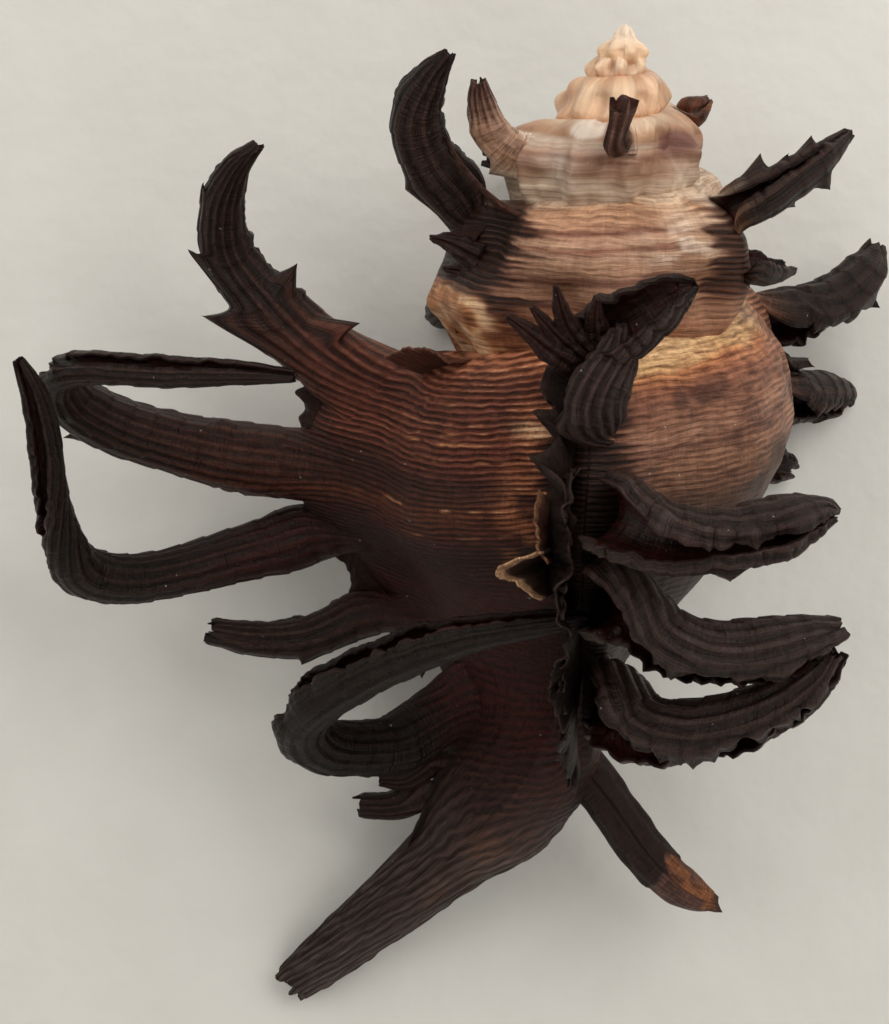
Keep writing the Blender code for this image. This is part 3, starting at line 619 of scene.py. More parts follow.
    dashes = ease((s + 940) / 60) * (1 - dark) * (0.5 + 0.5 * ease((s + 300) / 60)) * ease((60 - h) / 8)
    soft = 0.9 - 0.5 * ease((s + 560) / 40) - 0.25 * last
    # The third mark sets how strong the painted shade in the cords' grooves and the painted highlights on
    # their crests are, strongest by the dark ridges.
    lines = 0.03 + 0.05 * ease((s + 540) / 60) + 0.12 * last + 0.6 * dark
    lines = lines + (read(h, CORD_SHADE) - lines) * np.maximum(s > TOP, on_canal)
    lines = lines * ease((s + 1000) / 80) * (0.75 + 0.5 * patches(2.5, 1.4, 40))
    return colour, np.stack([dashes, soft, lines], -1)


def grid_faces(rows, columns, closed=False):
    """Four-sided faces over a grid of points, joined round its rows if it is closed."""
    i, j = np.meshgrid(np.arange(rows - 1), np.arange(columns if closed else columns - 1), indexing="ij")
    k = (j + 1) % columns
    corners = [i * columns + j, i * columns + k, (i + 1) * columns + k, (i + 1) * columns + j]
    return list(map(tuple, np.stack(corners, -1).reshape(-1, 4)))


def cord_run(along, number):
    """How far along its cord each place lies, and on which cord, for the material."""
    along, number = np.broadcast_arrays(along, number)
    return np.stack([along, number, 0 * number], -1)


def make_piece(name, points, faces, finish, ground, grain, mark=(0, 0, 0), inside=None):
    """A piece of the shell with its colour, the run of its cords and its markings. Its faces
    point away from its own middle, or from the place inside."""
    points = np.asarray(points).reshape(-1, 3)
    quads = np.array([face for face in faces if len(face) == 4])
    corners = points[quads] - (points.mean(0) if inside is None else inside)
    volume = np.einsum("ij,ij->i", corners[:, 0], np.cross(corners[:, 1], corners[:, 2])).sum()
    if volume < 0:
        faces = [face[::-1] for face in faces]
    mesh = bpy.data.meshes.new(name)
    mesh.from_pydata(((points + TO_ORIGIN) * MM).tolist(), [], faces)
    for label, kind, slot, values in (
            ("ground", "FLOAT_COLOR", "color", ground), ("grain", "FLOAT_VECTOR", "vector", grain),
            ("mark", "FLOAT_VECTOR", "vector", mark)):
        values = np.broadcast_to(np.reshape(values, (-1, 3)), points.shape)
        if label == "ground":
            values = np.concatenate([values, np.ones((len(points), 1))], 1)
        stored = mesh.attributes.new(label, kind, "POINT")
        stored.data.foreach_set(slot, np.ascontiguousarray(values, np.float32).ravel())
    mesh.shade_smooth()
    mesh.materials.append(finish)
    piece = bpy.data.objects.new(name, mesh)
    bpy.context.scene.collection.objects.link(piece)
    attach(piece, "root")
    return piece


def shell_finish(name, roughness, gloss, specks, cord_bump, crest_light, thread_light, growth_light):
    """Shell with spiral cords, finer threads, growth lines, dark dashes and fine wear, with painted
    shade in the cords' grooves and painted highlights along their crests.
    """
    material, field, shader = new_finish(name)
    ground = field.node("ShaderNodeAttribute", {"attribute_name": "ground"})
    grain = field.node("ShaderNodeAttribute", {"attribute_name": "grain"}, out=1)
    mark = field.node("ShaderNodeAttribute", {"attribute_name": "mark"}, out=1)
    spot = field.node("ShaderNodeTexCoord", out=3)
    shade = mark.part(2)
    cord = grain.part(1)
    crest = field.maths("ABSOLUTE", field.maths("COSINE", cord * math.pi))
    second = field.maths("ABSOLUTE", field.maths("COSINE", cord * (2 * math.pi)))
    threads = grain.noise(1, 4, 0.66, (0.42, 3.6, 1))
    growth = grain.noise(1, 4, 0.62, (3.6, 0.35, 1))
    dashes = grain.noise(1, 3, 0.6, (0.3, 1.2, 1))
    glint = grain.noise(1, 3, 0.6, (0.8, 1, 1))
    groups = grain.noise(1, 2, 0.6, (0.05, 0.42, 1))
    fine = spot.noise(2400, 3, 0.65)
    patch = spot.noise(210, 4, 0.6)
    strands = (threads - 0.5) * (1 - mark.part(1) * 0.85)
    # Painted shade and light: the colour is darker in the cords' grooves and lighter on their crests, partly
    # the shell's own banding.
    grooves = (crest.step(0.15, 0.95) - 0.5) * crest_light
    grooves = grooves + (second.step(0, 0.5) - 0.75) * (0.35 * crest_light)
    light = grooves * shade + strands * thread_light + (growth - 0.5) * growth_light
    light = light + (glint - 0.5) * 0.5 + (groups - 0.5) * shade * 1.3
    # Painted highlights: thin pale lines along the cords' crests.
    lit_cords = crest.step(0.84, 0.99) * glint.step(0.42, 0.6) * groups.step(0.36, 0.56) * shade * 0.9
    colour = light.step(-0.36, 0.36).mixed(
        ground.tinted((0.36, 0.27, 0.23, 1)), ground.tinted((1.72, 1.66, 1.6, 1)))
    colour = lit_cords.mixed(colour, ground.tinted((3.2, 4.2, 4.8, 1)))
    colour = (dashes.step(0.5, 0.66) * mark.part(0) * 0.7).mixed(
        colour, colour.tinted((0.42, 0.29, 0.24, 1)))
    colour = (patch.step(0.48, 0.7) * 0.5).mixed(colour, colour.tinted((0.68, 0.62, 0.6, 1)))
    colour = (spot.noise(1700, 1).step(0.79, 0.81) * specks).mixed(colour, (0.55, 0.5, 0.46, 1))
    height = grooves * shade * cord_bump + strands * 0.6 + growth * growth_light + fine * 0.22
    wire(shader,
         Base_Color=colour,
         Roughness=fine * 0.2 + threads * 0.16 + (roughness - 0.18),
         Specular_IOR_Level=gloss,
         Specular_Tint=(1, 0.92, 0.86, 1),
         Normal=field.node("ShaderNodeBump", None, {"Strength": 1, "Distance": 0.0003, "Height": height}))
    return material


pale_finish = shell_finish("pale_shell", roughness=0.36, gloss=0.5, specks=0, cord_bump=0.3,
                           crest_light=0.3, thread_light=0.3, growth_light=0.12)
banded_finish = shell_finish("banded_shell", roughness=0.45, gloss=0.28, specks=0.5, cord_bump=0.8,
                             crest_light=1.1, thread_light=1.2, growth_light=0.28)
flank_finish = shell_finish("flank_shell", roughness=0.45, gloss=0.25, specks=0.6, cord_bump=0.9,
                            crest_light=1, thread_light=1.8, growth_light=0.7)


ROWS_TO_TIP = [(0, 0), (0.5, 0.28), (0.8, 0.6), (1, 1)]


def whorl_piece(name, first, last, step, rows, finish, to_tip=False):
    """A stretch of the coil's outer surface between two growth angles."""
    s = np.linspace(first, last, int(round((last - first) / step)) + 1)[:, None]
    low = suture(s)
    share = np.linspace(0, 1, rows)[None, :]
    if to_tip:
        end = CANAL_TIP - BROKEN_TIP * (0.5 + 0.5 * wobble((s % 360) / 30, 16))
        h = low + (end - low) * read(share, ROWS_TO_TIP)
    else:
        h = low + (suture(s + 360) + 0.15 * girth(s + 360) - low) * share
    s = s + 0 * h
    r = radius(s, h) + relief(s, h)
    s = np.concatenate([s[:, :1], s, s[:, -3:]], 1)
    h = np.concatenate([h[:, :1], h, h[:, -1:] - (0, 0.8, 1.6) if to_tip else h[:, -3:]], 1)
    r = np.concatenate([0.72 * r[:, :1], r, r[:, -1:] * ((0.7, 0.4, 0.1) if to_tip else (0.9, 0.8, 0.7))], 1)
    colour, mark = shell_colour(s, h)
    grain = cord_run(way_round(s), cord_number(s, h))
    inside = core_at(h.mean())[0]
    return make_piece(name, place(s, h, r), grid_faces(*s.shape), finish, colour, grain, mark, inside)


first_whorls = whorl_piece("first_whorls", -1900, -880, step=1.3, rows=60, finish=pale_finish)
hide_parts("murex_shell")
NUCLEUS = [
    (0, 0.02), (0.25, 0.5), (0.7, 0.85), (1.1, 1), (1.4, 1.25), (1.8, 1.85), (2.3, 2.2), (2.8, 2.3),
    (3.2, 2.25), (3.6, 2), (3.9, 1.5)]
NUCLEUS_LENGTH = 3.9
NUCLEUS_OUT = 0.35
gone = np.linspace(0, NUCLEUS_LENGTH, 60)[:, None]
turn = np.linspace(0, 2 * math.pi, 72)[None, :]
down = gone / NUCLEUS_LENGTH
knobs = 0.17 * hump(gone, 1.3, 3.5) * np.cos(7 * turn + 2)
knobs = knobs + 0.1 * hump(gone, 0.2, 1.4) * np.cos(4 * turn + 0.6)
swell = through(gone, NUCLEUS) * (1 + knobs + 0.09 * mottle(turn * 2, gone * 1.6, 34))
shade = blended(tone(244, 228, 206), tone(226, 190, 152), ease(down * 1.6 - 0.2) + 0 * turn)
make_piece("nucleus", place(np.degrees(turn), gone - NUCLEUS_OUT, swell), grid_faces(*swell.shape),
           pale_finish, shade, cord_run(turn, down))

# Middle whorls
# Pinkish, banded shell between the beads and the large last whorl, grown in one run with them.
# Brown spiral bands and white chalky crusts lie along the seams.
whorl_piece("middle_whorls", -880, -262, step=0.7, rows=110, finish=banded_finish)

# Last whorl
# The large whorl with the canal, in the three stretches that grew between its ridges. The cords
# run round it, and the canal's end is broken off.
whorl_piece("last_whorl_back", -262, -115, step=0.7, rows=330, finish=flank_finish, to_tip=True)
whorl_piece("last_whorl_right", -115, 5, step=0.55, rows=390, finish=banded_finish, to_tip=True)
whorl_piece("last_whorl_left", 5, 106, step=0.5, rows=430, finish=flank_finish, to_tip=True)

# Lip and mouth
# The growing edge under the left side, with the oval mouth, its raised pale rim, and the slit
# that leads on to the canal. The mouth is smooth and glossy inside.
MOUTH_ANGLE = 106
MOUTH_END = 20
MOUTH_CENTRE = (0.62, 0.68)
MOUTH_HALF = (0.27, 0.4)
SLIT_LINE = [(54, 13), (59, 11), (64, 9.2), (69, 7.8), (75, 6), (113, 1.5)]
SLIT_HALF = 0.35
rim_finish = shell_finish("rim_shell", roughness=0.3, gloss=0.5, specks=0, cord_bump=0.3,
                          crest_light=0.2, thread_light=0.5, growth_light=0.3)

size = girth(MOUTH_ANGLE)
mouth_h = suture(MOUTH_ANGLE) + MOUTH_CENTRE[1] * size
mouth_r = MOUTH_CENTRE[0] * size
levels = np.linspace(suture(MOUTH_ANGLE) + 0.2, CANAL_TIP - BROKEN_TIP, 360)[:, None]
middle = read(levels, [(mouth_h, mouth_r)] + SLIT_LINE)
oval = np.sqrt(np.clip(1 - ((levels - mouth_h) / (MOUTH_HALF[1] * size)) ** 2, 0, 1)) * MOUTH_HALF[0] * size
gap = np.maximum(oval, SLIT_HALF * ease((levels - mouth_h) / 4) * ease((78 - levels) / 4))
across = np.linspace(0, 1, 30)[None, :]
lip_angle = MOUTH_ANGLE + 0 * levels
edge = radius(lip_angle, levels) + relief(lip_angle, levels)
deep_inside = place(*np.array([70, 60, 10]))
crinkle = 0.35 * np.abs(np.sin(levels * 2.2)) * hump(levels, 36, 62)
for name, start, stop in (("lip_face", middle + gap, edge), ("inner_lip", middle - gap, 0.15 * middle)):
    r = start + (stop - start) * across**1.3
    away = np.abs(r - start)
    fold = 2.6 * np.exp(-(away / 0.9) ** 2) * ease(gap / 1.5) + 1.2 * np.exp(-((away - 2.4) / 0.8) ** 2)
    fold = fold + 1.1 * mottle(levels / 0.7, across * 3, 31) * ease(away / 2) * (name == "lip_face")
    s = MOUTH_ANGLE + (fold + 2.2 * crinkle * np.exp(-((away - 0.8) / 0.8) ** 2)) * (1 - across**4)
    outer_shade = ladder(levels + 0 * r, LEFT_SHADES) * 0.8 + NEAR_BLACK * 0.2
    colour = blended(tone(214, 198, 186), outer_shade, ease((away - 0.8) / 3.4))
    make_piece(name, place(s, levels + 0 * r, r), grid_faces(*r.shape), rim_finish, colour,
               cord_run(levels, r / 0.8), inside=deep_inside)

angles = np.linspace(MOUTH_END, MOUTH_ANGLE + 1.5, 90)[:, None]
turn = np.linspace(0, 2 * math.pi, 72, endpoint=False)[None, :]
share = np.sqrt(ease((angles - MOUTH_END) / 25) + 0.001)
ripple = 1 + 0.012 * np.cos(turn * 22) * ease((angles - 80) / 20)
r = girth(angles) * (MOUTH_CENTRE[0] + MOUTH_HALF[0] * share * np.cos(turn) * ripple)
h = suture(angles) + girth(angles) * (MOUTH_CENTRE[1] + MOUTH_HALF[1] * share * np.sin(turn) * ripple)
colour = blended(tone(150, 112, 104), tone(222, 206, 198), ease((angles - 55) / 45) + 0 * r)
mouth = make_piece(
    "mouth", place(angles + 0 * r, h, r), grid_faces(*r.shape, closed=True), rim_finish, colour,
    cord_run(angles, turn * 4))
mouth.data.flip_normals()


# Fronds on the lip
# Gutters of thin dark shell that grow out of the last ridge, with the whorl's cords running on
# along their backs. The edges are ragged, and spurs stand out from them.
FROND_LEAVING = 4
FROND_JOIN = (1.3, 0.45)
FROND_SINK = 0.2
DARK_RED = tone(58, 26, 23)
FROND_ROW = 0.24
frond_finish = shell_finish("frond_shell", roughness=0.4, gloss=0.24, specks=0.4, cord_bump=1,
                            crest_light=0.8, thread_light=1.5, growth_light=0.9)


def even_line(points, widths, count):
    """Evenly spaced places on a smooth curve through the points, with their widths."""
    curve = smooth_curve(np.column_stack([points, widths]), 24)
    gone = distance_along(curve[:, :3])
    even = np.linspace(0, gone[-1], count)
    curve = read_rows(even, gone, curve)
    return curve[:, :3], curve[:, 3], even


def rings_round(line, widths, back, across, turn, swell):
    """Rings of points round a line, at the angles turn from the direction back."""
    return line[:, None] + widths[:, None, None] * (
        back[:, None] * (np.cos(turn) * swell)[..., None]
        + across[:, None] * (np.sin(turn) * swell)[..., None])


def sheet_normals(sheet):
    """The direction square to a sheet at each of its points."""
    normal = np.cross(np.gradient(sheet, axis=0), np.gradient(sheet, axis=1))
    return normal / (np.linalg.norm(normal, axis=2)[..., None] + 1e-9)


def both_sides(outer, inner):
    """The values of a wall's outer side and then of its inner side, ring by ring."""
    return np.concatenate([outer, inner[:, ::-1]], axis=1)


def closed_sheet(outer, inner):
    """Rings round a thin wall, and the faces that close it at both ends."""
    rings = both_sides(outer, inner)
    count, around, _ = rings.shape
    faces = grid_faces(count, around, closed=True)
    for row, turned in ((0, False), (count - 1, True)):
        for j in range(around // 2 - 1):
            a, b = row * around + j, row * around + around - 1 - j
            face = (a, b, b - 1, a + 1)
            faces.append(face[::-1] if turned else face)
    return rings, faces


def frond_piece(name, varix, band, seed, spine, spurs=(), opening=(130, 130), twist=(0, 0, 1), start=13,
                aim=0, flute=0.22, flutes=9, pleats=(7, 0.1), fade=(0.08, 0.5), ragged=1.3,
                tip_colour=NEAR_BLACK, lining=DARK_RED):
    """One frond as a closed thin wall that leaves the whorl with its cords. The spine's places
    are as seen from above, with the half width. Each spur is pulled out from root to tip."""
    places = [seen(*p[:3]) for p in spine]
    rows = int(np.clip((distance_along(places)[-1] + 4) / FROND_ROW, 24, 210))
    columns = 2 * int(np.clip(max(p[3] for p in spine) * 8, 6, 24)) + 1
    pleated = pleats[1] > 0.3

    # its root on the ridge, and the line that it follows
    heights = np.linspace(*band, columns)
    angles = crest(varix, heights)
    middle = np.array([0.5 * sum(band)])
    angle = crest(varix, middle)
    root = on_shell(angle, middle)[0]
    grown = (on_shell(angle + 1, middle) - on_shell(angle - 1, middle))[0]
    half_band = 0.5 * np.linalg.norm(np.diff(on_shell(angles, heights)[[0, -1]], axis=0))
    line, widths, gone = even_line([root] + places, [half_band] + [p[3] for p in spine], rows)
    along, back = frames_along(line, -unit(grown))
    across = np.cross(back, along)
    if across[0].dot(on_shell(angle, middle + 1)[0] - root) < 0:
        across = -across
    share = gone / gone[-1]
    turn = math.radians(twist[0]) * ease((share - twist[1]) / (twist[2] - twist[1]))[:, None]
    back, across = back * np.cos(turn) + across * np.sin(turn), across * np.cos(turn) - back * np.sin(turn)

    # the gutter with its ragged edges
    u = np.linspace(-1, 1, columns)[None, :]
    rim = ease((np.abs(u) - 0.66) / 0.34)

    def nicks(length, number):
        return wobble(gone[:, None] / length + np.where(u < 0, 0, 40), seed + number)

    rough = 0.3 * nicks(0.45, 0) + 0.35 * nicks(1.1, 1) + 0.75 * np.clip(nicks(2.6, 7), 0, 1) ** 2
    rough = rough * ragged * rim * ease(gone / 5)[:, None]
    half_turn = np.radians(np.interp(share, (0.12, 0.55), opening))[:, None]
    flare = 1 + (0.45 * rough - 0.04 * rim) * np.minimum(1, widths / 1.2)[:, None]
    gutter = rings_round(line, widths, back, across, u * half_turn * (1 + 0.06 * rough), flare)
    gutter = gutter - (back * widths[:, None] * 0.5 * np.sin(half_turn) / half_turn)[:, None]
    jag = wobble(np.arange(columns) * 0.6, seed + 3)[None, :] * ease((share - 0.9) / 0.1)[:, None]
    gutter = gutter + along[:, None] * (jag * 0.9 * np.minimum(widths, 0.9)[:, None])[..., None]

    # the stretch in which the whorl's skin turns into the gutter
    start_angles = angles - start
    sunk = FROND_SINK + 0.9 * np.abs(u[0]) ** 3 * pleated
    foot = on_shell(start_angles, heights, sunk)
    leave = unit(on_shell(start_angles + FROND_LEAVING, heights, sunk) - foot)
    join = np.searchsorted(gone, min(FROND_JOIN[0] * half_band, FROND_JOIN[1] * gone[-1]))
    reach = np.linalg.norm(gutter[join] - foot, axis=1)[:, None]
    leave = unit(leave + aim * (gutter[join] - foot) / reach)
    blend_rows = int(np.clip(reach.mean() / FROND_ROW, 8, 70))
    v = np.linspace(0, 1, blend_rows, endpoint=False)[:, None, None]
    sheet = np.concatenate([cubic(v, foot, leave * reach, gutter[join], along[join] * reach), gutter[join:]])
    sizes = np.concatenate([np.full(blend_rows, half_band), widths[join:]])[:, None]
    mid = columns // 2
    run = distance_along(sheet[:, mid])[:, None]
    normal = sheet_normals(sheet)
    if normal[2, mid].dot(foot[mid] - core_at(middle)[0][0]) < 0:
        normal = -normal

    # cords, folds, scales and spurs
    bends = 0.5 * pleats[0] * u + 0.3 * wobble(run / 6, seed + 11)
    number = bends if pleated else cord_number(start_angles, heights)[None, :] + 0 * run
    span = number[0, -1] - number[0, 0]
    number = number + 0.5 * max(0, flutes - abs(span)) * np.sign(span) * u * ease(run / 4)
    grow = way_round(start_angles) + run
    full = np.clip(sizes / 2, 0.25, 1)
    lift = np.interp(run, (0, 5), (read(middle[0], CORD_LIFT), flute)) * full
    ribs = (0.7 * cords(number, grow) + 0.3 * cords(2 * number + 0.5, grow)) * lift
    folds = cords(bends, grow) * ease(run / 3)
    thin = 1 - 0.85 * ease((np.abs(u) - 0.78) / 0.22)
    crumple = 0.1 * mottle(grow / 1.5, number / 1.4, seed + 22) * np.clip(sizes / 1.5, 0.2, 1)
    scales = 0.14 * np.clip(sizes / 2, 0, 1) * (1 - ((run + wobble(number * 0.5, seed + 9)) / 2.7) % 1)
    raised = (ribs + folds * pleats[1] * full + 1.5 * FROND_SINK * ease(run / 2)) * thin
    raised = raised + crumple * (1 - 0.5 * rim) + scales * thin * ease((run - 2) / 5)
    outer = sheet + normal * raised[..., None]
    for spur in spurs:
        far = np.linalg.norm(outer - seen(*spur[:3]), axis=2)
        peak = np.unravel_index(far.argmin(), far.shape)
        far = np.linalg.norm(outer - outer[peak], axis=2) / (1.9 * spur[6])
        pull = np.clip(1 - far, 0, 1) ** 1.35 * (normal @ normal[peak] > -0.3)
        outer = outer + (seen(*spur[3:6]) - outer[peak]) * pull[..., None]
    wall = np.minimum(0.8, 0.7 * sizes) * (1 - 0.82 * np.abs(u) ** 3)
    inner = sheet - normal * (wall + 0.06 * mottle(grow / 2, number, seed + 23) - 0.4 * ribs)[..., None]
    rings, faces = closed_sheet(outer, inner)
    level = rings[..., 2]
    rings[..., 2] = np.where(level < 1, np.exp(np.minimum(level, 1) - 1), level)

    # from the whorl's own colour to the dark tip, with painted shade in the valleys between the folds
    dark = ease((run / run[-1] + 0 * u - fade[0]) / (fade[1] - fade[0]))
    begin, first_mark = shell_colour(start_angles, heights)
    warm = ease((np.abs(u) - 0.88) / 0.12) * (0.5 + 0.5 * wobble(run / 2.2, seed + 5))
    ground = coated(begin[None], (tip_colour, dark), (DARK_RED * 0.7, 0.4 * warm * dark))
    # Painted shade: darker in the valleys between the folds, more so towards the tip.
    ground = ground * (1 - min(1, 2.2 * pleats[1]) * 0.35 * dark * (1 - np.minimum(folds, 1)))[..., None]
    lining = blended(lining, NEAR_BLACK * 0.6, 0.7 + 0.3 * mottle(grow / 3, number, seed + 6))
    grain = cord_run(grow, number)
    # The third mark sets how strong the painted shade in the grooves and the painted highlights on the
    # crests are.
    mark = blended(first_mark[None], (0, 0, 0.4 if pleated else 0.8), dark)
    make_piece(name, rings, faces, frond_finish, both_sides(ground, lining),
               both_sides(grain, 0.35 * grain), both_sides(mark, 0 * mark))


frond_piece("lip_frond_a", LIP, (33, 40.2), 100, [(-14.2, 16.9, 17.5, 3.2), (-18.3, 21.2, 19, 2.7),
    (-21.8, 26, 21, 2.1), (-22.3, 30.7, 24.5, 1.7), (-20.9, 34.4, 28, 1), (-18.7, 36.7, 30, 0.3)],
    spurs=[(-18, 18.8, 18.5, -24.4, 19.7, 19, 2.1), (-22.4, 24.6, 21, -25.7, 26.3, 22.5, 1.2),
        (-23.6, 31, 25.5, -24.1, 33, 26.5, 0.7), (-16.4, 22.4, 20.5, -14.7, 24.9, 21.5, 0.9),
        (-12.3, 17.4, 19, -8.4, 18.9, 20.5, 1), (-20.3, 26.6, 22, -19.4, 27.4, 22.5, 0.6)])
frond_piece("lip_frond_b", LIP, (40.7, 48), 140, [(-15.5, 5.3, 14.5, 3.3), (-20.5, 5.6, 15.5, 3),
    (-26.5, 6.8, 17.5, 2.6), (-32.5, 8.6, 20.5, 2.4), (-37.3, 11.2, 24.5, 2.1), (-38.4, 13.6, 29, 1.5),
    (-35.5, 14.4, 33, 1.2), (-28, 14, 36, 1.1), (-21, 13.9, 38, 0.8), (-15.2, 13.6, 39.5, 0.3)],
    opening=(130, 150), ragged=1.1, spurs=[(-22.2, 8, 17, -22.2, 9.3, 17.5, 0.8),
        (-36, 8.4, 20, -38.2, 7.4, 19.5, 0.8)])
frond_piece("lip_frond_c", LIP, (48.6, 55.4), 180, [(-15, -2.6, 13, 2.8), (-20.5, -4.2, 13.5, 2.3),
    (-27, -6, 14.5, 2), (-32.2, -6.7, 16.5, 2), (-36.3, -5.7, 19.5, 2), (-38.3, -2.5, 23, 1.7),
    (-39.4, 2.5, 26.5, 1.3), (-40, 7.5, 29.5, 1.2), (-41, 11.8, 32, 0.9), (-42.5, 15, 33.5, 0.3)],
    twist=(-100, 0.5, 0.8), opening=(130, 152), ragged=1, tip_colour=NEAR_BLACK * 0.6)
frond_piece("lip_frond_d", LIP, (60.2, 65.2), 220, [(-9.2, -10.6, 12.5, 2), (-13.5, -12.4, 12, 1.7),
    (-18.5, -12.7, 11.5, 1.4), (-23.2, -12, 12, 1)], aim=0.6,
    spurs=[(-13.6, -13.6, 12, -14.3, -15.3, 12.5, 0.8)])
frond_piece("lip_frond_loop", LIP, (66, 78), 260, [(-3.6, -22.6, 13, 2.8), (-8.5, -23.6, 16, 2.3),
    (-12.4, -23.2, 19.5, 2.3), (-14.2, -21.3, 23, 2.3), (-13, -19, 26.5, 2.3), (-9.9, -17, 29.5, 2.1),
    (-4.5, -14.4, 32.5, 1.9), (1, -12.6, 35, 1.5), (6, -11.7, 36.5, 1.1), (11, -11, 37.5, 0.8),
    (14.2, -10.7, 38, 0.4)], start=22, aim=0.7, flutes=12, opening=(130, 158), ragged=0.8, fade=(0, 0.15),
    tip_colour=NEAR_BLACK * 0.36)
frond_piece("lip_frond_f", LIP, (79, 82), 300, [(-3.6, -26.6, 9.5, 0.9), (-6.4, -26.8, 9.5, 0.35)],
    start=20, aim=1.5)
frond_piece("lip_frond_g", LIP, (83, 87), 340, [(-4.8, -29.3, 8.5, 1.2), (-8.8, -29.4, 8.5, 0.9)], start=20,
    aim=1.5, ragged=1.4)

# Fronds on the top ridge
# They rise off the whorl and bend over to the right, with bold flutes at the root and the open
# channel nearly shut. Spikes fringe the first one.
TOP_WAY = dict(flute=0, flutes=0, pleats=(12, 0.5), fade=(0, 0.2), aim=0.7, tip_colour=tone(46, 34, 31))
frond_piece("top_frond_a", TOP, (29.6, 33.4), 500, [(15.6, 16.6, 45.5, 3), (19.5, 19.4, 47.5, 2.4),
    (22.8, 21.7, 48.5, 1.5), (24.9, 22.7, 49, 0.3)], start=8, opening=(125, 118), twist=(-45, 0.1, 0.5),
    ragged=1.3, **TOP_WAY, spurs=[(19.6, 21.4, 48.5, 20.6, 22.8, 49.5, 0.6)])
frond_piece("top_frond_b", TOP, (32.2, 36.4), 540, [(15.4, 12.2, 46, 2.9), (16.8, 15.2, 46.5, 2.2),
    (17.4, 17.8, 46, 0.9)], opening=(120, 100), twist=(30, 0, 0.4), start=6, **TOP_WAY,
    spurs=[(13.2, 10, 43.5, 10.4, 8.6, 43.5, 1.2)])
frond_piece("top_frond_c", TOP, (38.4, 46.6), 580, [(17, -0.2, 47.5, 3.2), (21.5, -2.4, 49.5, 2.6),
    (27.5, -2.8, 49.5, 2.2), (33.2, -1.6, 48, 2.2), (37, -0.4, 46.5, 1.4), (39, -0.2, 45.5, 0.4)],
    twist=(-26, 0.1, 0.5), opening=(112, 171), **TOP_WAY, spurs=[(28.4, -5, 49, 28.6, -7, 48.5, 1),
        (21.8, -4.9, 48.5, 21.5, -6.3, 48, 0.8)])
frond_piece("top_frond_d", TOP, (48, 57), 620, [(17.6, -8.8, 41.5, 3.1), (21.8, -12.6, 43.5, 2.6),
    (26.6, -14.2, 44, 2.4), (31.8, -13.8, 43, 2.4), (36.3, -12.7, 41.5, 1.7), (39.2, -11.8, 40.5, 0.8)],
    twist=(-62, 0.1, 0.5), opening=(118, 168), **TOP_WAY)
frond_piece("top_frond_e", TOP, (58.5, 68), 660, [(17.2, -18.8, 31.5, 3.1), (20.2, -21.6, 35, 2.8),
    (25, -21.8, 37.5, 2.4), (31, -20.4, 39, 2.2), (36, -17.6, 40, 1.8), (39, -14.2, 40.5, 0.9)],
    twist=(-62, 0.15, 0.6), opening=(118, 166), **TOP_WAY)


def round_run(places, rows):
    """Centre line, widths, distance, and two directions across, from places with half widths."""
    line, widths, gone = even_line([seen(*p[:3]) for p in places], [p[3] for p in places], rows)
    along, back = frames_along(line, np.array([0, 0, 1]))
    return line, widths, gone[:, None], along, back, np.cross(along, back)


def capped_tube(rows, around):
    """Faces round a tube of rings, with one more over each end."""
    ends = [tuple(range(around))[::-1], tuple(range((rows - 1) * around, rows * around))]
    return grid_faces(rows, around, closed=True) + ends


def spike_piece(name, places, seed):
    """A short pointed spike with a groove along it."""
    line, widths, gone, along, back, across = round_run(places, 44)
    turn = np.linspace(-math.pi, math.pi, 28, endpoint=False)[None, :]
    ridge = 1 + 0.1 * np.cos(3 * turn) + 0.16 * mottle(gone / 0.7, turn * 1.3, seed)
    ridge = ridge - 0.55 * np.exp(-((turn + 0.5) / 0.45) ** 2)
    colour = blended(NEAR_BLACK, DARK_RED, 0.3 * ease(gone / gone[-1]) + 0 * turn)
    # The mark gives half strength to the painted shade in the grooves and the painted highlights on the
    # crests.
    make_piece(name, rings_round(line, widths, back, across, turn, ridge), capped_tube(*ridge.shape),
               frond_finish, colour, cord_run(gone, turn * 1.2), (0, 0, 0.5))


SPIKES = [
    [(13.5, 14.6, 43, 1.7), (10.8, 16.2, 44.5, 1.25), (8.2, 18.2, 45.6, 0.75), (6.2, 19.6, 46.2, 0.3)],
    [(13.8, 15.6, 43.6, 1.5), (11.6, 17.4, 45.2, 0.9), (9.9, 19.2, 46.6, 0.6), (8.7, 20.5, 47.4, 0.25)],
    [(14.4, 16.2, 44, 1.7), (12.4, 18.6, 46, 1.05), (11.6, 20.6, 47.8, 0.7), (11.1, 22.6, 49, 0.25)],
    [(15.4, 17.2, 45, 1.3), (15.1, 19.4, 47, 0.8), (15.3, 21.3, 48.6, 0.3)],
]
for number, places in enumerate(SPIKES):
    spike_piece("top_spike_%d" % (number + 1), places, 701 + number)

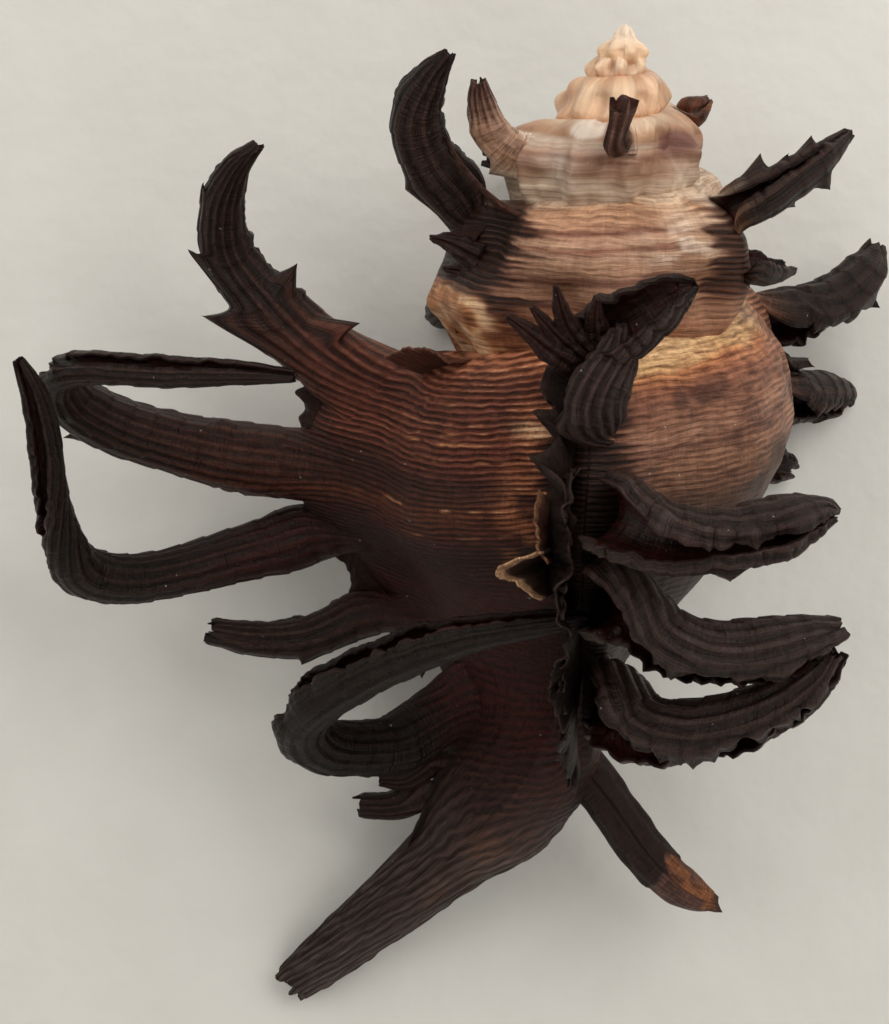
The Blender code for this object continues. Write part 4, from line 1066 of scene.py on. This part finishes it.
# Fronds of the older ridges
# Shorter rows on the right side, behind, underneath and up the spire. Those that touch the
# ground are worn at the tip.
BROWN_TIP = tone(74, 50, 42)
frond_piece("side_frond_a", SIDE, (25.6, 31.2), 900, [(33.5, 19.4, 14, 2.6), (38, 20.6, 11, 2.2),
    (41.6, 23.6, 8, 1.8), (42.9, 26.2, 6, 0.7)], pleats=(8, 0.4), twist=(-55, 0.05, 0.4),
    opening=(150, 170), fade=(0, 0.25), spurs=[(41.4, 21.4, 8, 43.6, 20.4, 7, 1.3)])
frond_piece("side_frond_b", SIDE, (31.8, 34), 940, [(33.8, 14.2, 12, 1.1), (35.8, 14.3, 9.5, 0.9)])
frond_piece("side_frond_c", SIDE, (34.6, 39.4), 980, [(34.6, 11.4, 10, 2.4), (37.5, 11.7, 5, 2.1),
    (39.4, 11.6, 1.6, 1.5), (40, 11.3, 0.4, 1)], twist=(-40, 0.05, 0.4), opening=(150, 170), fade=(0, 0.25))
frond_piece("side_frond_d", SIDE, (41, 44.6), 1020, [(32, 5.2, 9, 1.7), (33.6, 4.6, 5, 1.2),
    (34.8, 4.1, 2, 0.5)])
frond_piece("back_frond_a", BACK, (17.5, 21.4), 1060, [(1.6, 31.4, 25.5, 2.8), (-1.5, 35, 27.5, 2.4),
    (-2.9, 39.4, 30, 2), (-1.5, 43.2, 32.5, 1.3), (0.4, 45.8, 34.5, 0.3)], fade=(0, 0.2),
    spurs=[(-2.6, 32, 26, -3.9, 32.2, 26, 1.1), (-4.2, 39.8, 30, -4.9, 41, 31, 0.9)])
frond_piece("back_frond_d", BACK, (27.4, 30), 1100, [(-0.2, 19.9, 16.5, 1.2), (-1, 19.8, 12, 0.7)],
    fade=(0, 0.1))
frond_piece("fore_frond_a", FORE, (14.8, 19), 1140, [(28.6, 30.2, 37, 2.1), (33, 32.2, 37, 1.6),
    (37.2, 35, 35, 1.2), (40.4, 37.9, 32.5, 0.3)], twist=(20, 0.1, 0.5), opening=(160, 176), fade=(0, 0.25),
    spurs=[(31.2, 33.4, 37, 31.6, 35.9, 37, 0.8), (34.2, 34.2, 36, 34.5, 35.9, 36.5, 0.6),
        (36.6, 35.8, 35, 36.7, 37.7, 35, 0.7), (37.4, 33.6, 35, 38.6, 32.2, 34.5, 0.7),
        (34, 31, 35.5, 35.1, 30.5, 35, 0.7)])
frond_piece("fore_frond_b", FORE, (20, 23.2), 1180, [(30, 24.6, 35, 1.6), (32.4, 24.2, 32.5, 1.2),
    (34.4, 24.4, 30, 0.5)], fade=(0, 0.2))
frond_piece("under_frond_a", UNDER, (13, 16.2), 1220, [(17.5, 34.6, 11, 2.2), (13, 34.8, 6.5, 1.8),
    (7.6, 35.2, 4.5, 1.3), (4.1, 35.4, 4.5, 0.5)])
frond_piece("under_frond_b", UNDER, (18.6, 22), 1260, [(17, 25.6, 9, 2.2), (12.5, 23, 4.6, 1.9),
    (5.5, 20.8, 2.4, 1.5), (-0.4, 19.8, 1, 0.9)])
frond_piece("high_frond_a", -632, (9.8, 15), 1300, [(5, 36.6, 30.2, 1.9), (4.2, 39.2, 31.2, 1.2),
    (3.6, 41.4, 32, 0.85), (3.4, 43.2, 33, 0.4)], start=26, aim=0.5, flutes=6, fade=(0.45, 0.95),
    tip_colour=BROWN_TIP, ragged=1.5, spurs=[(6.2, 33.6, 29, 4.4, 33.8, 29, 0.9),
        (4, 38.6, 31, 2.9, 38.9, 31, 0.6)])
frond_piece("high_frond_b", -724, (8.2, 10.8), 1340, [(17, 37.4, 39.5, 1.25), (17.3, 39.4, 41, 1.15),
    (17.6, 41, 41.5, 1.6)], start=5, flutes=4, opening=(130, 100), ragged=0.3, fade=(0, 0.35),
    tip_colour=BROWN_TIP, lining=tone(120, 52, 38))
frond_piece("high_frond_c", -830, (7, 9.6), 1380, [(23.6, 39.4, 27.5, 1.3), (25.2, 40.2, 27, 0.9),
    (26.4, 41.2, 26, 0.3)], fade=(0.3, 1), opening=(140, 172), tip_colour=tone(120, 62, 40),
    lining=tone(170, 100, 66), spurs=[(24.8, 39, 26, 25.6, 38.5, 25.5, 0.6)])
BACK_SPIKES = [
    [(3.8, 25.4, 29.8, 1.8), (1, 26.8, 28.8, 1), (-1.4, 27.5, 27.4, 0.3)],
    [(4.4, 23.2, 29.6, 1.4), (2, 24.1, 28.6, 0.8), (-0.1, 24.4, 27.4, 0.25)],
    [(5.2, 21.9, 29, 1.2), (2.8, 22.4, 28, 0.7), (0.9, 22.6, 27.2, 0.25)],
]
for number, places in enumerate(BACK_SPIKES):
    spike_piece("back_spike_%d" % (number + 1), places, 721 + number)


# Frills
# Thin crinkled flanges that the edge left behind when it stood still: the dark pleated face under
# the top ridge, the pale-rimmed flap on it, and small ruffles along the seams.
def frill_piece(name, stations, seed, ground, rim_colour, wave, arch=0.1, pleats=0.06, ragged=0.05,
                rim=0.2):
    """A flange from places on the shell, given as s and h, to its edge as seen from above."""
    table = smooth_curve(np.array(stations, float), 26)
    rows, columns = len(table), 22
    base = on_shell(table[:, 0], table[:, 1], 0.3)
    outward = unit(base - core_at(table[:, 1])[0])
    tip = np.array([seen(*row[2:]) for row in table])
    gone = distance_along(tip + base)[:, None] / 2
    reach = np.linalg.norm(tip - base, axis=1)[:, None]
    tip = tip + (tip - base) * ragged * (wobble(gone / 0.6, seed) + wobble(gone / 1.7, seed + 3))
    knee = 0.5 * (base + tip) + outward * reach * arch
    v = np.linspace(0, 1, columns)[None, :, None]
    sheet = base[:, None] * (1 - v) ** 2 + 2 * knee[:, None] * v * (1 - v) + tip[:, None] * v**2
    normal = sheet_normals(sheet)
    fold = pleats * np.sin(2 * np.pi * gone / wave + 1.5 * wobble(gone / 2, seed + 1)) * v[..., 0]
    sheet = sheet + normal * (fold + 0.05 * mottle(gone / 0.5, v[..., 0] * 6, seed + 2))[..., None]
    wall = (0.24 - 0.13 * v) * np.ones((rows, 1, 1))
    rings, faces = closed_sheet(sheet + normal * wall, sheet - normal * wall)
    edge = ease((v[..., 0] - 1 + rim) / (0.5 * rim)) + 0 * gone
    colour = blended(ground, rim_colour, edge)
    grain = cord_run(reach * v[..., 0] * 3, gone / 0.5)
    make_piece(name, rings, faces, frond_finish, both_sides(colour, colour), both_sides(grain, grain))


DARK_EDGE = tone(50, 37, 34)
frill_piece("brown_edge", [
    (12, 41.6, 9.6, 2.2, 42.6), (13, 42.8, 9.2, 0.6, 43), (14, 43.8, 8.9, -0.8, 43.4),
    (14, 44.8, 9.3, -2.4, 43.6), (14, 45.8, 9.4, -3.8, 43.4), (13, 47, 10.4, -5, 42.8)],
    71, tone(70, 44, 34), tone(118, 84, 62), wave=1, arch=0.35, pleats=0.08, ragged=0.1, rim=0.25)
frill_piece("pale_flap", [
    (12, 45.4, 9.6, -4, 43.6), (14, 45.8, 8, -4.5, 43.6), (15, 46.2, 6.4, -5, 43.3),
    (16, 46.7, 5.3, -5.7, 42.9), (16, 47.2, 5.5, -6.6, 42.5), (15, 48, 7.4, -7.1, 42),
    (14, 49.2, 8.7, -8.2, 41), (12, 50.2, 9.6, -8.8, 40.2)],
    72, tone(54, 38, 31), tone(166, 132, 102), wave=1.3, arch=0.35, pleats=0.07, rim=0.32)
frill_piece("shoulder_frill", [
    (8, 31, 10.4, 14.4, 42), (9, 32.4, 9.3, 13, 43.2), (9, 33.8, 10, 11.4, 43.8),
    (9, 35, 10.8, 10.4, 44.2), (9, 36.2, 9, 9.9, 44.2), (9, 37.6, 11.4, 8.4, 44.4),
    (9, 39, 10.6, 6.4, 44.2), (9, 40.2, 8.7, 5.4, 43.8), (9, 41.6, 11.6, 3.4, 44.6),
    (9, 43, 12.2, 1.2, 44.8), (9, 44.4, 13.2, -0.8, 44.6)],
    77, NEAR_BLACK, DARK_EDGE, wave=2.4, arch=0.3, pleats=0.1)
for number, (shift, reach) in enumerate([(5, 1), (8, 0.62), (10.5, 0.32)]):
    frill_piece("scar_lamella_%d" % (number + 1), [
        (TOP + shift - swing, h, 14.2 - lean * reach - 0.6 * number, y, z - 0.7 * number)
        for swing, h, lean, y, z in (
            (0, 38.5, 0.6, 4.4, 45), (0, 42.5, 2.2, -0.4, 45.6), (0, 46.5, 1.4, -5, 44.2),
            (0, 50, 3.4, -9.2, 42), (3, 53.6, 1.8, -12.8, 37.5), (7, 58, 3.8, -17.4, 34),
            (12, 61.5, 2.4, -20.6, 30), (22, 66, 2.8, -24.4, 25.5), (34, 70, 1.2, -27.6, 21))],
        80 + 5 * number, NEAR_BLACK * 0.7, DARK_EDGE, wave=3.4, arch=0.3, pleats=0.3, ragged=0.12, rim=0.08)
frill_piece("seam_ruffle", [
    (60, 31.4, 0.6, 14.8, 31.5), (65, 31.7, -0.7, 15.8, 31), (70, 32.1, -2.3, 16.4, 30),
    (75, 32.8, -4.3, 16.3, 28.5), (80, 33.8, -6.2, 15.6, 27)],
    95, tone(84, 50, 38), tone(92, 58, 46), wave=0.7)
frill_piece("back_fan", [
    (-286, 17.6, -0.3, 38.2, 29.6), (-292, 17.4, 0.9, 35.8, 30.2), (-299, 17.3, 2.4, 33.8, 31.2),
    (-305, 17.3, 3.8, 32.2, 32.2), (-311, 17.4, 5, 31, 33.2)],
    101, tone(84, 56, 46), tone(60, 40, 34), wave=1.1, ragged=0.03)
frill_piece("back_web", [
    (-288, 18.6, 2.8, 28.9, 29), (-286, 19.4, 0.8, 28.1, 28.2), (-285, 20.2, -1.2, 27.3, 27.4),
    (-285, 21, 0.9, 26.5, 26.5), (-285, 21.8, 1.9, 25.9, 27), (-285, 22.6, 0.1, 24.4, 26.5),
    (-286, 23.4, 1.7, 23.4, 27), (-288, 24.2, 1, 22.2, 26.5), (-291, 25.2, 2.8, 21.1, 26.8),
    (-296, 26.4, 4.4, 20.2, 27), (-303, 27.6, 6.2, 19.7, 27.5)],
    104, tone(52, 35, 30), NEAR_BLACK, wave=0.9, arch=0.12, pleats=0.1)
frill_piece("canal_flange", [
    (78, 84, -2.9, -31.6, 9), (80, 87, -3.6, -33.2, 8.5), (82, 90, -5, -35.6, 7.4),
    (84, 93.5, -7.2, -38, 6.4), (86, 97.5, -10.3, -40.5, 5.2), (88, 103, -14.4, -43.9, 3.6)],
    99, tone(50, 40, 37), tone(50, 40, 37), wave=1.8, pleats=0.05, ragged=0.06)
LIP_WEBS = [
    [(98, 38.6, -13.6, 12.9, 17), (98, 39.6, -14.9, 12.1, 16.6), (98, 40.3, -14.1, 11.2, 16.2),
     (98, 41, -13.9, 10.4, 15.8), (98, 41.7, -14.5, 9.6, 15.6), (98, 42.6, -14.2, 8.2, 15.2)],
    [(98, 54.6, -11.5, -3.9, 13), (98, 55.8, -10.2, -5, 12.8), (98, 57.2, -9.5, -6.1, 12.6),
     (98, 58.6, -9.3, -7.2, 12.6), (98, 60, -9.4, -8.3, 12.6), (98, 62, -8, -9.6, 12.6)],
    [(98, 61, -8.2, -10.6, 12.4), (98, 62.6, -6.6, -11, 12.4), (98, 64.2, -5.2, -12.2, 12.4),
     (98, 66, -3.6, -14.6, 12.4), (96, 68, -2.2, -16.6, 12.6)],
]
for number, stations in enumerate(LIP_WEBS):
    frill_piece("lip_web_%d" % (number + 1), stations, 110 + 9 * number, tone(46, 29, 25), DARK_EDGE,
                wave=1.4)

# Old canal
# The stump of the canal from an earlier stage, dark and ribbed, with an orange broken end.
OLD_CANAL = [
    (12, -23.5, 11.5, 2.5), (16.2, -28.6, 11, 2.3), (19.6, -33.4, 10.5, 2.3), (22.6, -36.6, 10, 2.3),
    (24.8, -38.2, 9.5, 1.9), (27.3, -39.2, 9, 0.8)]
FLATTENED = 0.8
line, widths, gone, along, back, across = round_run(OLD_CANAL, 110)
turn = np.linspace(0, 2 * math.pi, 56, endpoint=False)[None, :]
share = gone / gone[-1]
ridge = 1 + 0.09 * np.abs(np.cos(4.5 * turn)) + 0.06 * mottle(gone / 1.6, turn * 3, 61)
bare = ease((share - 0.66 - 0.07 * wobble(turn * 1.6, 62)) / 0.02)
stump = rings_round(line, widths, FLATTENED * back, across, turn, ridge - 0.1 * bare)
stump[-4:] += along[-4:, None] * (0.7 * wobble(turn * 1.3, 63))[..., None]
worn = blended(tone(124, 80, 54), tone(78, 56, 50),
               ease(0.5 + 0.4 * np.cos(turn - 1) + mottle(gone / 1.5, turn * 2, 64)))
colour = coated(NEAR_BLACK, (worn, bare), (tone(60, 44, 40), ease((share - 0.94) / 0.06) + 0 * turn))
make_piece("old_canal", stump, capped_tube(*bare.shape), frond_finish, colour, cord_run(gone, turn * 2.5))
